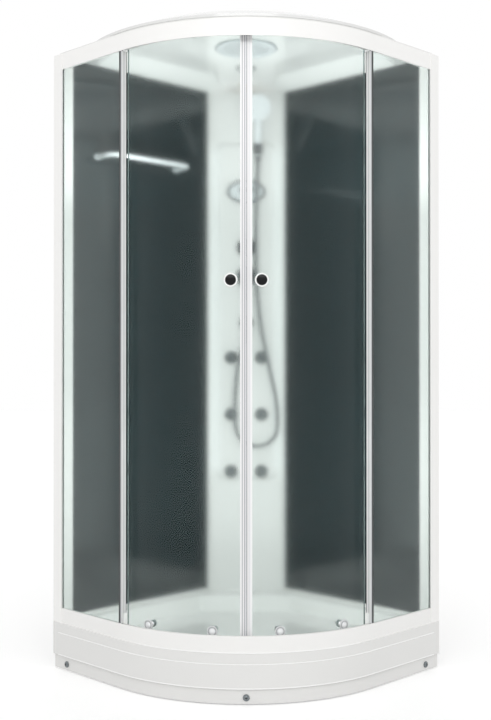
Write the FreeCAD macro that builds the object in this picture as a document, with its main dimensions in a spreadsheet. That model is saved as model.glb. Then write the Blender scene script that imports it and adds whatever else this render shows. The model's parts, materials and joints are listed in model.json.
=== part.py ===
import FreeCAD, Part
import math
import os
import re
import Sketcher

# A corner steam shower cabin, in millimetres. The room corner is at the back and
# the curved doors face -Y. The cabin is symmetric about X = 0 and stands on Z = 0.
#
# Two local frames are used, both with their origin on the room corner:
#   "diagonal"  x to the right, y backwards, so the cabin lies at negative y;
#   "wall"      x along the left wall and y along the right wall, so the cabin
#               fills a square whose far corner is rounded.

V = FreeCAD.Vector

SIZES = {
    # plan and main levels
    "side": 900,
    "front_radius": 550,
    "tray_top": 154,
    "frame_top": 2016,
    "fit_gap": 0.3,
    "shaft_gap": 0.05,
    # tray
    "rim_thickness": 5,
    "rim_inset": 8,
    "wall_gap": 2,
    "bowl_wall_inset": 50,
    "bowl_front_inset": 60,
    "bowl_slope": 32,
    "bowl_corner_cut": 235,
    "bowl_floor": 104,
    "bowl_round": 9,
    "upstand_inset": 7,
    "upstand_thickness": 4,
    "upstand_height": 11,
    # skirt under the front edge
    "skirt_thickness": 5,
    "skirt_bottom": 47,
    "skirt_band": 33,
    "skirt_band_recess": 4,
    "plinth_recess": 8,
    "plinth_thickness": 4,
    "plinth_clearance": 3,
    "screw_radius": 10,
    "screw_shank_radius": 2.5,
    "screw_height": 22,
    "screw_wall_distance": 68,
    # frame under the tray, and its feet
    "bar_width": 25,
    "bar_bottom": 66,
    "bar_wall_distance": 30,
    "bar_cross": 640,
    "foot_radius": 20,
    "foot_height": 12,
    "foot_rod_radius": 5,
    # drain
    "drain_along_left": 132,
    "drain_along_right": 706,
    "drain_radius": 45,
    "drain_hole_radius": 40,
    "waste_pipe_radius": 20,
    "waste_pipe_drop": 64,
    # front rails
    "rail_setback": 4,
    "rail_wall": 2.5,
    "bottom_rail_height": 48,
    "top_rail_height": 52,
    "rail_depth": 31,
    "slot_width": 8,
    "slot_floor": 12,
    "bottom_ledge": 39.5,
    "top_ledge": 12,
    # wall posts
    "post_setback": 2,
    "post_width": 44,
    "post_depth": 38,
    "post_leg": 33,
    "post_leg_thickness": 12,
    "post_wall": 2.5,
    # glass
    "glass_thickness": 6,
    "fixed_glass_inset": 7.5,
    "door_glass_inset": 42,
    "door_start_angle": 0.9,
    "door_end_angle": 46.5,
    "door_bottom": 168,
    "door_top": 2008,
    # door running gear
    "lead_wheel_angle": 11,
    "trail_wheel_angle": 34.3,
    "wheel_inset": 22.9,
    "wheel_width": 5,
    "bottom_wheel_radius": 16,
    "top_wheel_radius": 14,
    "axle_radius": 4,
    "spacer_radius": 7,
    "nut_radius": 11,
    "glass_hole_radius": 6,
    "knob_angle": 5,
    "knob_height": 1247,
    "knob_radius": 16,
    # seals
    "magnet_width": 18,
    "magnet_depth": 13,
    "seal_grip": 9,
    "seal_reach": 11,
    "seal_notch": 30,
    # back panels and corner column
    "panel_start": 197,
    "panel_thickness": 6,
    "column_depth": 146,
    "column_half_width": 132,
    "column_sheet": 4,
    "column_flange": 14,
    "boss_half_width": 98,
    "boss_slope": 28,
    "boss_end_slope": 10,
    "boss_depth": 12,
    "boss_bottom": 578,
    "boss_top": 1817,
    # roof
    "roof_flange": 4,
    "roof_flange_inset": 12,
    "roof_sheet": 4,
    "crown_radius": 548,
    "crown_rim": 8,
    "crown_wall_inset": 12,
    "ceiling_rise": 42,
    "ceiling_radius": 440,
    "ceiling_wall_inset": 84,
    "roof_mouth_radius": 502,
    "roof_mouth_inset": 12,
    "spine_drop": 18,
    "spine_half_width": 104,
    # ceiling fittings
    "rain_distance": 644,
    "rain_radius": 103,
    "rain_stem_radius": 12,
    "lamp_distance": 396,
    "lamp_radius": 37,
    # fittings on the column
    "control_height": 1642,
    "control_half_width": 72,
    "control_half_height": 44,
    "control_depth": 9,
    "diverter_height": 1434,
    "diverter_radius": 34,
    "mixer_height": 1326,
    "mixer_radius": 37,
    "lever_width": 11,
    "outlet_height": 1154,
    "outlet_radius": 25,
    "jet_top": 1024,
    "jet_pitch": 212,
    "jet_half_spacing": 56.5,
    "jet_radius": 24,
    "nozzle_radius": 12,
    # hand shower
    "holder_height": 1796,
    "holder_offset": 43,
    "holder_reach": 40,
    "holder_tilt": 18,
    "handle_radius": 11,
    "hand_head_radius": 47,
    "hose_radius": 7,
    "loop_radius": 80.7,
    "loop_height": -378,
    # pipes behind the column
    "pipe_radius": 8,
    "supply_half_spacing": 40,
    "supply_height": 300,
    "stub_radius": 10.5,
    "stub_length": 15,
    "stub_reach": 30,
    # shelf
    "shelf_start": 372,
    "shelf_length": 350,
    "shelf_depth": 88,
    "shelf_height": 1706,
    "shelf_rod_radius": 7.5,
    "shelf_plate": 5,
}

CORNER_Y = "((sqrt(2) * (side - front_radius) + front_radius) / 2)"
ARC_Y = "(-sqrt(2) * (side - front_radius))"
WALL_TURN = 225
RAIL_BOTTOM_TOP = "(tray_top + bottom_rail_height)"
TOP_RAIL_UNDER = "(frame_top - top_rail_height)"
LEG_START = "(side - post_setback - post_depth - post_leg)"
COLUMN_FACE = "(-column_depth - boss_depth)"
CEILING = "(frame_top + ceiling_rise)"
SPINE = "(frame_top + ceiling_rise - spine_drop)"

doc = FreeCAD.newDocument("SteamShowerCabin")
sheet = doc.addObject("Spreadsheet::Sheet", "Sizes")
for row, (alias, number) in enumerate(SIZES.items(), 1):
    sheet.set("A%d" % row, alias)
    sheet.set("B%d" % row, str(number))
    sheet.setAlias("B%d" % row, alias)
doc.recompute()

NAMES = re.compile(r"\b(%s)\b" % "|".join(sorted(SIZES, key=len, reverse=True)))
parts = []


# ---- helpers -------------------------------------------------------------------

def text(expression):
    return "(%s)" % expression


def size(expression):
    """The number that an expression in the sheet's own words gives."""
    return float(sheet.evalExpression(str(expression)))


def bind(item, prop, expression):
    item.setExpression(prop, NAMES.sub(r"Sizes.\1", str(expression)))


def keep(item, name):
    """Make an object one of the cabin's sub-parts, under its own name."""
    item.Label = name
    parts.append(item)
    return item


def place(item, x="0", y="0", z="0", turn=None):
    """Put an object at a point given in the diagonal frame."""
    turn = turn or FreeCAD.Rotation()
    above = "%s + %s" % (CORNER_Y, text(y))
    item.Placement = FreeCAD.Placement(V(size(x), size(above), size(z)), turn)
    bind(item, "Placement.Base.x", x)
    bind(item, "Placement.Base.y", above)
    bind(item, "Placement.Base.z", z)
    return item


def body(name, frame="diagonal"):
    made = doc.addObject("PartDesign::Body", name)
    turn = FreeCAD.Rotation(V(0, 0, 1), WALL_TURN if frame == "wall" else 0)
    return place(made, turn=turn)


def mirror_pair(points):
    """Swap the two walls in a list of wall-frame points, keeping the order round."""
    swapped = []
    for index in range(len(points) - 1, -1, -1):
        point = points[index]
        before = points[index - 1]
        swapped.append((point[1], point[0]) + tuple(before[2:]))
    return swapped


def arc_centre(start, end, radius, turn):
    middle = (start + end) * 0.5
    along = end - start
    half = along.Length / 2
    reach = math.sqrt(max(radius * radius - half * half, 0))
    left = V(-along.y, along.x, 0).normalize()
    return middle + left * (reach * turn)


def fix_point(sketch, geometry, position, x, y):
    """Tie a point of the sketch to its two coordinates."""
    for axis, kind, expression in ((-2, "DistanceX", x), (-1, "DistanceY", y)):
        number = size(expression)
        if abs(number) < 1e-9:
            sketch.addConstraint(Sketcher.Constraint("PointOnObject", geometry, position, axis))
            continue
        made = sketch.addConstraint(
            Sketcher.Constraint(kind, -1, 1, geometry, position, number))
        bind(sketch, "Constraints[%d]" % made, expression)


def fix_radius(sketch, geometry, expression):
    made = sketch.addConstraint(Sketcher.Constraint("Radius", geometry, size(expression)))
    bind(sketch, "Constraints[%d]" % made, expression)


def add_loop(sketch, points, closed=True):
    """Draw lines and arcs from point to point; (x, y, radius, turn) starts an arc."""
    at = [V(size(p[0]), size(p[1]), 0) for p in points]
    count = len(points) if closed else len(points) - 1
    ends = []
    for index in range(count):
        start, end = at[index], at[(index + 1) % len(points)]
        if len(points[index]) == 2:
            made = sketch.addGeometry(Part.LineSegment(start, end))
            ends.append((made, 1, 2))
            continue
        radius, turn = size(points[index][2]), points[index][3]
        centre = arc_centre(start, end, radius, turn)
        first, last = (start, end) if turn > 0 else (end, start)
        angles = [math.atan2(p.y - centre.y, p.x - centre.x) for p in (first, last)]
        circle = Part.Circle(centre, V(0, 0, 1), radius)
        made = sketch.addGeometry(Part.ArcOfCircle(circle, *angles))
        ends.append((made, 1, 2) if turn > 0 else (made, 2, 1))
    for index in range(count if closed else count - 1):
        here, after = ends[index], ends[(index + 1) % count]
        sketch.addConstraint(
            Sketcher.Constraint("Coincident", here[0], here[2], after[0], after[1]))
    for index in range(count):
        fix_point(sketch, ends[index][0], ends[index][1], *points[index][:2])
        if len(points[index]) > 2:
            fix_radius(sketch, ends[index][0], points[index][2])
    if not closed:
        fix_point(sketch, ends[-1][0], ends[-1][2], *points[-1][:2])


def add_circle(sketch, x, y, radius):
    centre = V(size(x), size(y), 0)
    made = sketch.addGeometry(Part.Circle(centre, V(0, 0, 1), size(radius)))
    fix_point(sketch, made, 3, x, y)
    fix_radius(sketch, made, radius)


def sketch_on(owner, plane, loops=(), circles=(), height="0", closed=True):
    """A sketch on one of the body's own origin planes, moved along its normal."""
    made = owner.newObject("Sketcher::SketchObject", owner.Name + "_sketch")
    base = [item for item in owner.Origin.OriginFeatures if item.Role == plane][0]
    made.AttachmentSupport = [(base, "")]
    made.MapMode = "FlatFace"
    made.AttachmentOffset = FreeCAD.Placement(V(0, 0, size(height)), FreeCAD.Rotation())
    bind(made, "AttachmentOffset.Base.z", height)
    for loop in loops:
        add_loop(made, loop, closed)
    for circle in circles:
        add_circle(made, *circle)
    return made


def feature(owner, kind, profile, length=None, down=False, **settings):
    made = owner.newObject("PartDesign::" + kind, owner.Name + "_" + kind.lower())
    made.Profile = profile
    if length is not None:
        bind(made, "Length", length)
        made.Reversed = down
    for name, value in settings.items():
        setattr(made, name, value)
    return made


def pad(owner, loops, length, height="0", plane="XY_Plane", down=False, circles=()):
    profile = sketch_on(owner, plane, loops, circles, height)
    return feature(owner, "Pad", profile, length, down)


def pocket(owner, loops, length, height="0", plane="XY_Plane", up=False, circles=()):
    """Cut down from the sketch by a length, or up where up is true."""
    profile = sketch_on(owner, plane, loops, circles, height)
    return feature(owner, "Pocket", profile, length, up)


def loft(owner, kind, lower, upper, low, high, plane="XY_Plane"):
    """A straight-sided loft between two outlines at two heights."""
    base = sketch_on(owner, plane, [lower], height=low)
    top = sketch_on(owner, plane, [upper], height=high)
    return feature(owner, kind, base, Sections=[top], Ruled=True)


def turned(name, points):
    """A solid turned about its own Z axis from a half section of (radius, height)."""
    made = doc.addObject("PartDesign::Body", name)
    profile = sketch_on(made, "XZ_Plane", [points])
    feature(made, "Revolution", profile, ReferenceAxis=(profile, ["V_Axis"]), Angle=360)
    return made


def round_edges(owner, radius, chosen):
    """Round the edges of the last feature whose middle point passes a test."""
    doc.recompute()
    tip = owner.Tip
    names = []
    for index, edge in enumerate(tip.Shape.Edges, 1):
        middle = edge.valueAt((edge.FirstParameter + edge.LastParameter) / 2)
        if chosen(edge, middle):
            names.append("Edge%d" % index)
    made = owner.newObject("PartDesign::Fillet", owner.Name + "_fillet")
    made.Base = (tip, names)
    bind(made, "Radius", radius)
    return made


def dome(half, rise):
    """The radius of an arc that rises over a half width and ends level."""
    return "((%s) ^ 2 + (%s) ^ 2) / (2 * (%s))" % (half, rise, rise)


def box(x0, x1, y0, y1):
    return [(x0, y0), (x1, y0), (x1, y1), (x0, y1)]


def soft_box(half, low, high, radius):
    """A box outline, even about zero, with its four corners rounded."""
    low, high, radius = text(low), text(high), text(radius)
    side, inner = text(half), "(%s - %s)" % (half, radius)
    under, over = "%s + %s" % (low, radius), "%s - %s" % (high, radius)
    return [("-" + inner, low), (inner, low, radius, 1),
            (side, under), (side, over, radius, 1),
            (inner, high), ("-" + inner, high, radius, 1),
            ("-" + side, over), ("-" + side, under, radius, 1)]


def cutter(x, y, z, radius, length, turn):
    """A round tool for a hole, from a point of the diagonal frame along an axis."""
    made = doc.addObject("Part::Cylinder", "tool")
    bind(made, "Radius", radius)
    bind(made, "Height", length)
    return place(made, x, y, z, turn)


def cut(name, base, tools):
    """Take one or more tools away from a base."""
    if len(tools) > 1:
        tool = doc.addObject("Part::MultiFuse", name + "_tools")
        tool.Shapes = tools
    else:
        tool = tools[0]
    made = doc.addObject("Part::Cut", name)
    made.Base = base
    made.Tool = tool
    return made


def group(name, members):
    made = doc.addObject("Part::Compound", name)
    made.Links = members
    return keep(made, name)


def fused(name, members):
    made = doc.addObject("Part::MultiFuse", name)
    made.Shapes = members
    return made


# ---- outlines of the plan ------------------------------------------------------

def quadrant(front, wall):
    """The whole plan in the wall frame, drawn in from the front and the walls."""
    near, far = text(wall), "side - %s" % text(front)
    turn = "side - front_radius"
    return [(near, near), (far, near),
            (far, turn, "front_radius - %s" % text(front), 1),
            (turn, far), (near, far)]


def front_strip(outer, inner, end):
    """A strip along the front, between two distances in from the plan's outline."""
    turn = "side - front_radius"
    out, deep = "side - %s" % text(outer), "side - %s" % text(inner)
    return [(out, end), (out, turn, "front_radius - %s" % text(outer), 1),
            (turn, out), (end, out), (end, deep),
            (turn, deep, "front_radius - %s" % text(inner), -1),
            (deep, turn), (deep, end)]


def corner_cut_bowl(front, wall, corner):
    """The bowl's plan: the quadrant with its back corner cut off straight."""
    near, far = text(wall), "side - %s" % text(front)
    turn, beyond = "side - front_radius", "%s + %s" % (text(wall), text(corner))
    return [(beyond, near), (far, near),
            (far, turn, "front_radius - %s" % text(front), 1),
            (turn, far), (near, far), (near, beyond)]


def crown(radius, wall):
    """The roof's plan: the walls, closed by one arc about the doors' centre."""
    near = text(wall)
    centre = "(side - front_radius)"
    reach = "%s + sqrt(%s ^ 2 - (%s - %s) ^ 2)" % (centre, text(radius), centre, near)
    return [(near, near), (reach, near, radius, 1), (near, reach)]


def from_diagonal(x, y):
    """A point of the diagonal frame, in wall-frame words."""
    return ("(-%s - %s) / sqrt(2)" % (text(x), text(y)),
            "(%s - %s) / sqrt(2)" % (text(x), text(y)))


def on_arc(side, inset, angle):
    """A point on the door's circle, an angle round from the middle of the front."""
    radius = "(front_radius - %s)" % text(inset)
    return ("%d * %s * sin(%s)" % (-side, radius, angle),
            "%s - %s * cos(%s)" % (ARC_Y, radius, angle))


def outward(side, angle):
    """The turn that points an axis out through the door at an angle."""
    degrees = math.radians(size(angle))
    return FreeCAD.Rotation(V(0, 0, 1), V(-side * math.sin(degrees), -math.cos(degrees), 0))


# ---- tray ----------------------------------------------------------------------

def make_tray_basin():
    tray = body("tray_basin", "wall")
    rim = "tray_top - rim_thickness"
    pad(tray, [quadrant("rim_inset", "wall_gap")], "rim_thickness", rim)
    shell = "rim_thickness"
    mouth = ("bowl_front_inset", "bowl_wall_inset", "bowl_corner_cut")
    deep = ("bowl_front_inset + bowl_slope", "bowl_wall_inset + bowl_slope",
            "bowl_corner_cut")
    outer_mouth = corner_cut_bowl(*["%s - %s" % (m, shell) for m in mouth[:2]], mouth[2])
    outer_deep = corner_cut_bowl(*["%s - %s" % (d, shell) for d in deep[:2]], deep[2])
    loft(tray, "AdditiveLoft", outer_deep, outer_mouth, "bowl_floor - rim_thickness", rim)
    loft(tray, "SubtractiveLoft", corner_cut_bowl(*deep), corner_cut_bowl(*mouth),
         "bowl_floor", "tray_top")
    top, floor = size("tray_top"), size("bowl_floor")

    def bowl_edge(edge, middle):
        reach = math.hypot(*[c - size("side - front_radius") for c in (middle.x, middle.y)])
        inside = min(middle.x, middle.y) > size("bowl_wall_inset") - 1 and (
            max(middle.x, middle.y) < size("side - bowl_front_inset") + 1) and (
            reach < size("front_radius - bowl_front_inset") + 1)
        level = abs(edge.Vertexes[0].Z - edge.Vertexes[-1].Z) < 1e-6
        return level and inside and any(abs(middle.z - z) < 1e-6 for z in (top, floor))

    round_edges(tray, "bowl_round", bowl_edge)
    for swap in (False, True):
        lip = box("panel_start + column_flange + upstand_inset", LEG_START,
                  "upstand_inset", "upstand_inset + upstand_thickness")
        pad(tray, [mirror_pair(lip) if swap else lip], "upstand_height", "tray_top")
    pocket(tray, [], "3 * rim_thickness", "bowl_floor + rim_thickness",
           circles=[("drain_along_left", "drain_along_right", "drain_hole_radius")])
    keep(tray, "tray_basin")


def make_tray_skirt():
    """The front panel: a bowed face, a stepped band above and a set-back plinth."""
    skirt = body("skirt_blank", "wall")
    end = "wall_gap"
    band = "tray_top - skirt_band"
    pad(skirt, [front_strip("0", "skirt_thickness", end)],
        "%s - skirt_bottom" % band, "skirt_bottom")
    half_chord = "(front_radius / sqrt(2))"
    rise = "(front_radius - %s - skirt_band_recess)" % half_chord
    flat_radius = "(%s ^ 2 + %s ^ 2) / (2 * %s)" % (half_chord, rise, rise)
    stepped = front_strip("0", "skirt_thickness + skirt_band_recess", end)
    turn = stepped[1][:2]
    stepped[1] = turn + (flat_radius, 1)
    pad(skirt, [stepped], "skirt_band - rim_thickness - fit_gap", band)
    lip = front_strip("0", "rim_inset - fit_gap", end)
    lip[1] = turn + (flat_radius, 1)
    pad(skirt, [lip], "rim_thickness + fit_gap", "tray_top - rim_thickness - fit_gap")
    back = "plinth_recess + plinth_thickness"
    pad(skirt, [front_strip("0", back, end)], "plinth_thickness", "skirt_bottom")
    pad(skirt, [front_strip("plinth_recess", back, end)],
        "skirt_bottom - plinth_clearance", "plinth_clearance")
    levels = [size(level) for level in ("skirt_bottom", "tray_top")]

    def outer_lip(edge, middle):
        flat = abs(edge.Vertexes[0].Z - edge.Vertexes[-1].Z) < 1e-6
        outside = max(middle.x, middle.y) > size("side") - 1 or (
            math.hypot(*[c - size("side - front_radius") for c in (middle.x, middle.y)])
            > size("front_radius - skirt_band_recess") - 1)
        return flat and outside and edge.Length > 100 and any(
            abs(middle.z - level) < 1e-6 for level in levels)

    round_edges(skirt, "skirt_thickness / 3", outer_lip)
    holes = []
    for x, y, turn in skirt_screw_places("3 * plinth_thickness"):
        holes.append(cutter(x, y, "screw_height", "screw_shank_radius + shaft_gap",
                            "5 * plinth_thickness", turn))
    keep(cut("tray_skirt", skirt, holes), "tray_skirt")


def skirt_screw_places(depth="0"):
    """Where the three screws pass the plinth at a depth, and the way each one faces."""
    middle = ("0", "%s - front_radius + plinth_recess + %s" % (ARC_Y, depth),
              FreeCAD.Rotation(V(0, 0, 1), V(0, -1, 0)))
    places = [middle]
    for side in (1, -1):
        along = "side - plinth_recess - %s" % depth
        x = "%d * (%s - screw_wall_distance) / sqrt(2)" % (-side, along)
        y = "-(%s + screw_wall_distance) / sqrt(2)" % text(along)
        places.append((x, y, FreeCAD.Rotation(V(0, 0, 1), V(-side, -1, 0))))
    return places


def make_skirt_screws():
    screws = []
    shank = "screw_shank_radius"
    rim = "screw_radius * 0.3"
    for x, y, turn in skirt_screw_places():
        screw = turned("skirt_screw", [
            ("0", "-2 * plinth_thickness - 2"), (shank, "-2 * plinth_thickness - 2"),
            (shank, "fit_gap"), ("screw_radius", "fit_gap"),
            ("screw_radius", rim), ("screw_radius - 1", rim + " + 1"),
            ("screw_radius - 3", rim + " + 1", dome("screw_radius - 3", "3"), 1),
            ("0", rim + " + 4")])
        screws.append(place(screw, x, y, "screw_height", turn))
    group("skirt_screws", screws)


def bar(owner, start, end):
    """A frame bar between two points of the wall frame."""
    first, last = [V(size(p[0]), size(p[1]), 0) for p in (start, end)]
    along = (last - first).normalize()
    across = V(-along.y, along.x, 0)
    corners = []
    for point, sign in ((start, -1), (end, -1), (end, 1), (start, 1)):
        corners.append(tuple("%s + %.6f * bar_width / 2" % (text(c), sign * a)
                             for c, a in zip(point, (across.x, across.y))))
    pad(owner, [corners], "bowl_floor - rim_thickness - fit_gap - bar_bottom", "bar_bottom")


def foot_places():
    near = "bar_wall_distance + bar_width / 2"
    far = "side - 2 * post_width"
    middle = "side * 0.69"
    return [(near, near), (far, near), (near, far), (middle, middle)]


def make_tray_frame():
    """The steel frame that the tray rests on, with a screwed foot under each end."""
    frame = body("tray_frame", "wall")
    corner, left, right, front = foot_places()
    near, cross, half = corner[0], "bar_cross", "bar_cross / 2"
    opposite = "%s - (%s)" % (cross, near)
    bars = [(corner, left), (corner, right), ((opposite, near), (near, opposite)),
            ((half, half), front)]
    for start, end in bars:
        bar(frame, start, end)
    pocket(frame, [], "bar_width + bar_bottom", "bowl_floor", circles=[
        (x, y, "foot_rod_radius + shaft_gap") for x, y in foot_places()])
    keep(frame, "tray_frame")


def make_feet():
    feet = []
    for x, y in foot_places():
        foot = turned("foot", [
            ("0", "0"), ("foot_radius", "0"), ("foot_radius", "foot_height / 2"),
            ("foot_rod_radius * 2", "foot_height"), ("foot_rod_radius", "foot_height"),
            ("foot_rod_radius", "bar_bottom - 6 - fit_gap"),
            ("foot_rod_radius * 1.8", "bar_bottom - 6 - fit_gap"),
            ("foot_rod_radius * 1.8", "bar_bottom - fit_gap"),
            ("foot_rod_radius", "bar_bottom - fit_gap"),
            ("foot_rod_radius", "bowl_floor - 2 * rim_thickness"),
            ("0", "bowl_floor - 2 * rim_thickness")])
        across = "(%s - %s) / sqrt(2)" % (text(y), text(x))
        deep = "-(%s + %s) / sqrt(2)" % (text(x), text(y))
        feet.append(place(foot, across, deep, "0"))
    group("leveling_feet", feet)


# ---- drain ---------------------------------------------------------------------

DRAIN_X = "(drain_along_right - drain_along_left) / sqrt(2)"
DRAIN_Y = "-(drain_along_left + drain_along_right) / sqrt(2)"


def make_drain():
    collar = "bowl_floor - rim_thickness - 11"
    level = "bowl_floor - waste_pipe_drop"
    base = level + " - waste_pipe_radius - 6"
    trap = turned("drain_cup", [
        ("0", base), ("drain_hole_radius - 4", base),
        ("drain_hole_radius", base + " + 4"), ("drain_hole_radius", collar),
        ("drain_radius", collar), ("drain_radius", "bowl_floor - rim_thickness - fit_gap"),
        ("drain_hole_radius", "bowl_floor - rim_thickness - fit_gap"),
        ("drain_hole_radius", collar + " + 3"), ("drain_hole_radius - 5", collar + " + 3"),
        ("drain_hole_radius - 5", base + " + 5"), ("0", base + " + 5")])
    place(trap, DRAIN_X, DRAIN_Y)
    spout_turn = FreeCAD.Rotation(V(0, 0, 1), V(-1, 1, 0))
    spout = cutter(DRAIN_X, DRAIN_Y, level, "waste_pipe_radius", "drain_radius + 45",
                   spout_turn)
    hub = cutter(DRAIN_X, DRAIN_Y, level, "waste_pipe_radius + 4", "drain_radius + 5",
                 spout_turn)
    bore = cutter(DRAIN_X, DRAIN_Y, level, "waste_pipe_radius - 2.5",
                  "drain_radius + 46", spout_turn)
    hollow = cutter(DRAIN_X, DRAIN_Y, base + " + 5", "drain_hole_radius - 5",
                    "2 * waste_pipe_radius + 10", FreeCAD.Rotation())
    joined = fused("drain_cup_and_spout", [trap, spout, hub])
    keep(cut("drain_trap", joined, [bore, hollow]), "drain_trap")

    flange = turned("drain_flange", [
        ("drain_hole_radius - 12", "bowl_floor - 8"),
        ("drain_hole_radius - fit_gap", "bowl_floor - 8"),
        ("drain_hole_radius - fit_gap", "bowl_floor + fit_gap"),
        ("drain_radius", "bowl_floor + fit_gap"), ("drain_radius", "bowl_floor + 1.6"),
        ("drain_radius - 1", "bowl_floor + 2.6"),
        ("drain_hole_radius - 9", "bowl_floor + 2.6"),
        ("drain_hole_radius - 9", "bowl_floor - 5"),
        ("drain_hole_radius - 12", "bowl_floor - 5")])
    keep(place(flange, DRAIN_X, DRAIN_Y), "drain_flange")

    cover_low = "bowl_floor + 2.6 + fit_gap"
    cover = turned("drain_cover", [
        ("0", "bowl_floor + 4.6"), ("drain_hole_radius - 14", "bowl_floor + 4.6"),
        ("drain_hole_radius - 14", "bowl_floor - 5 + fit_gap"),
        ("drain_hole_radius - 10", "bowl_floor - 5 + fit_gap"),
        ("drain_hole_radius - 10", cover_low), ("drain_radius - 4", cover_low),
        ("drain_radius - 4", cover_low + " + 1", dome("drain_radius - 4", "4.7"), 1),
        ("0", cover_low + " + 5.7")])
    keep(place(cover, DRAIN_X, DRAIN_Y), "drain_cover")


# ---- front frame ---------------------------------------------------------------

def swept_rail(name, section):
    """A rail of one section, (distance in from the outline, height), bent in plan."""
    rail = body(name, "wall")
    turn = "side - front_radius"
    end = "post_width + fit_gap / 3"
    spine = sketch_on(rail, "XY_Plane", [
        [("side", end), ("side", turn, "front_radius", 1), (turn, "side"), (end, "side")]],
        closed=False)
    profile = sketch_on(rail, "XZ_Plane", [
        [("side - %s" % text(p[0]), p[1]) + tuple(p[2:]) for p in section]],
        height="-(%s)" % end)
    made = rail.newObject("PartDesign::AdditivePipe", name + "_pipe")
    made.Profile = profile
    made.Spine = (spine, ["Edge1", "Edge2", "Edge3"])
    keep(rail, name)


def make_rails():
    out = "rail_setback"
    skin = "rail_setback + rail_wall"
    slot = "rail_setback + rail_wall + slot_width"
    web = "rail_setback + 2 * rail_wall + slot_width"
    back = "rail_setback + rail_depth"
    low = "tray_top"

    def over_tray(height):
        return "tray_top + %s" % height

    ledge = over_tray("bottom_ledge")
    swept_rail("bottom_rail", [
        (out, low), (skin, low), (skin, over_tray("slot_floor - rail_wall")),
        (slot, over_tray("slot_floor - rail_wall")), (slot, low), (web, low),
        (web, ledge + " - rail_wall"), (back + " - rail_wall", ledge + " - rail_wall"),
        (back + " - rail_wall", low), (back, low), (back, ledge), (web, ledge),
        (web, RAIL_BOTTOM_TOP + " - 1"), (slot, RAIL_BOTTOM_TOP + " - 1"),
        (slot, over_tray("slot_floor")), (skin, over_tray("slot_floor")),
        (skin, RAIL_BOTTOM_TOP), (out + " + 2", RAIL_BOTTOM_TOP, "2", -1),
        (out, RAIL_BOTTOM_TOP + " - 2")][::-1])
    under = TOP_RAIL_UNDER
    roof = "frame_top - rail_wall"
    shelf = under + " + top_ledge"
    swept_rail("top_rail", [
        (out, "frame_top"), (out, under), (skin, under), (skin, roof), (slot, roof),
        (slot, under + " + top_ledge - rail_wall"),
        (back, under + " + top_ledge - rail_wall"), (back, shelf + " + rail_wall"),
        (back + " - 1.2", shelf + " + rail_wall"), (back + " - 1.2", shelf), (web, shelf),
        (web, roof), (back + " + 2", roof), (back + " + 2", "frame_top")])


def both_sides(name, make):
    """Make a wall-frame piece for the left wall, and its mirror for the right."""
    for word, swap in (("left", False), ("right", True)):
        make("%s_%s" % (name, word), (lambda loop: mirror_pair(loop) if swap else loop))


def make_post(name, swap):
    """A hollow corner post: a box at the front and a leg that holds the back panel."""
    post = body(name, "wall")
    face, wall = "side - post_setback", "post_wall"
    back = "%s - post_depth" % face
    slot_out = "side - fixed_glass_inset + 1"
    slot_in = "side - fixed_glass_inset - glass_thickness - 1"
    slot_deep = "post_width - 12"
    outline = [
        (face, "0"), (face, "post_width"), (slot_out, "post_width"), (slot_out, slot_deep),
        (slot_in, slot_deep), (slot_in, "post_width"), (back, "post_width"),
        (back, "post_leg_thickness"), (LEG_START, "post_leg_thickness"), (LEG_START, "0")]
    height = "frame_top - tray_top"
    pad(post, [swap(outline)], height, "tray_top")
    hollow = box("%s + %s" % (back, wall), "%s - %s" % (face, wall),
                 wall, "%s - %s" % (slot_deep, wall))
    leg = box("%s + %s" % (LEG_START, wall), back, wall, "post_leg_thickness - %s" % wall)
    for loop in (hollow, leg):
        pocket(post, [swap(loop)], height, "frame_top")
    keep(post, name)


def make_fixed_glass(name, swap):
    pane = body(name, "wall")
    near = "side - fixed_glass_inset"
    pad(pane, [swap(box("%s - glass_thickness" % near, near,
                        "post_width - 12 + fit_gap", "side - front_radius - 2"))],
        "frame_top - rail_wall - fit_gap - tray_top - slot_floor - fit_gap",
        "tray_top + slot_floor + fit_gap")
    keep(pane, name)


def make_fixed_seal(name, swap):
    """The edge profile of the fixed pane: a grip and a fin that reaches the door."""
    seal = body(name, "wall")
    edge = "side - front_radius - 2"
    glass_out = "side - fixed_glass_inset + fit_gap"
    glass_in = "side - fixed_glass_inset - glass_thickness - fit_gap"
    lip = "1.2"
    start = "%s - seal_grip" % edge
    grip = [
        ("%s + %s" % (glass_out, lip), start),
        ("%s + %s" % (glass_out, lip), "%s + 3.5" % edge),
        ("%s - %s" % (glass_in, lip), "%s + 3.5" % edge),
        ("%s - %s" % (glass_in, lip), start), (glass_in, start),
        (glass_in, "%s + fit_gap" % edge), (glass_out, "%s + fit_gap" % edge),
        (glass_out, start)]
    bottom = RAIL_BOTTOM_TOP + " + fit_gap"
    top = TOP_RAIL_UNDER + " - fit_gap"
    pad(seal, [swap(grip)], "%s - %s" % (top, text(bottom)), bottom)
    fin = box("%s - %s - seal_reach" % (glass_in, lip), "%s - %s + 0.1" % (glass_in, lip),
              "%s + 1" % edge, "%s + 3.5" % edge)
    pad(seal, [swap(fin)], "%s - %s - seal_notch" % (top, text(bottom)),
        "%s + seal_notch" % bottom)
    keep(seal, name)


# ---- doors ---------------------------------------------------------------------

DOOR_SIDES = (("left", 1), ("right", -1))
DOOR_INNER = "(door_glass_inset + glass_thickness)"


def door_hole(side, angle, height, radius):
    return cutter("0", ARC_Y, height, radius, "front_radius", outward(side, angle))


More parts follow.
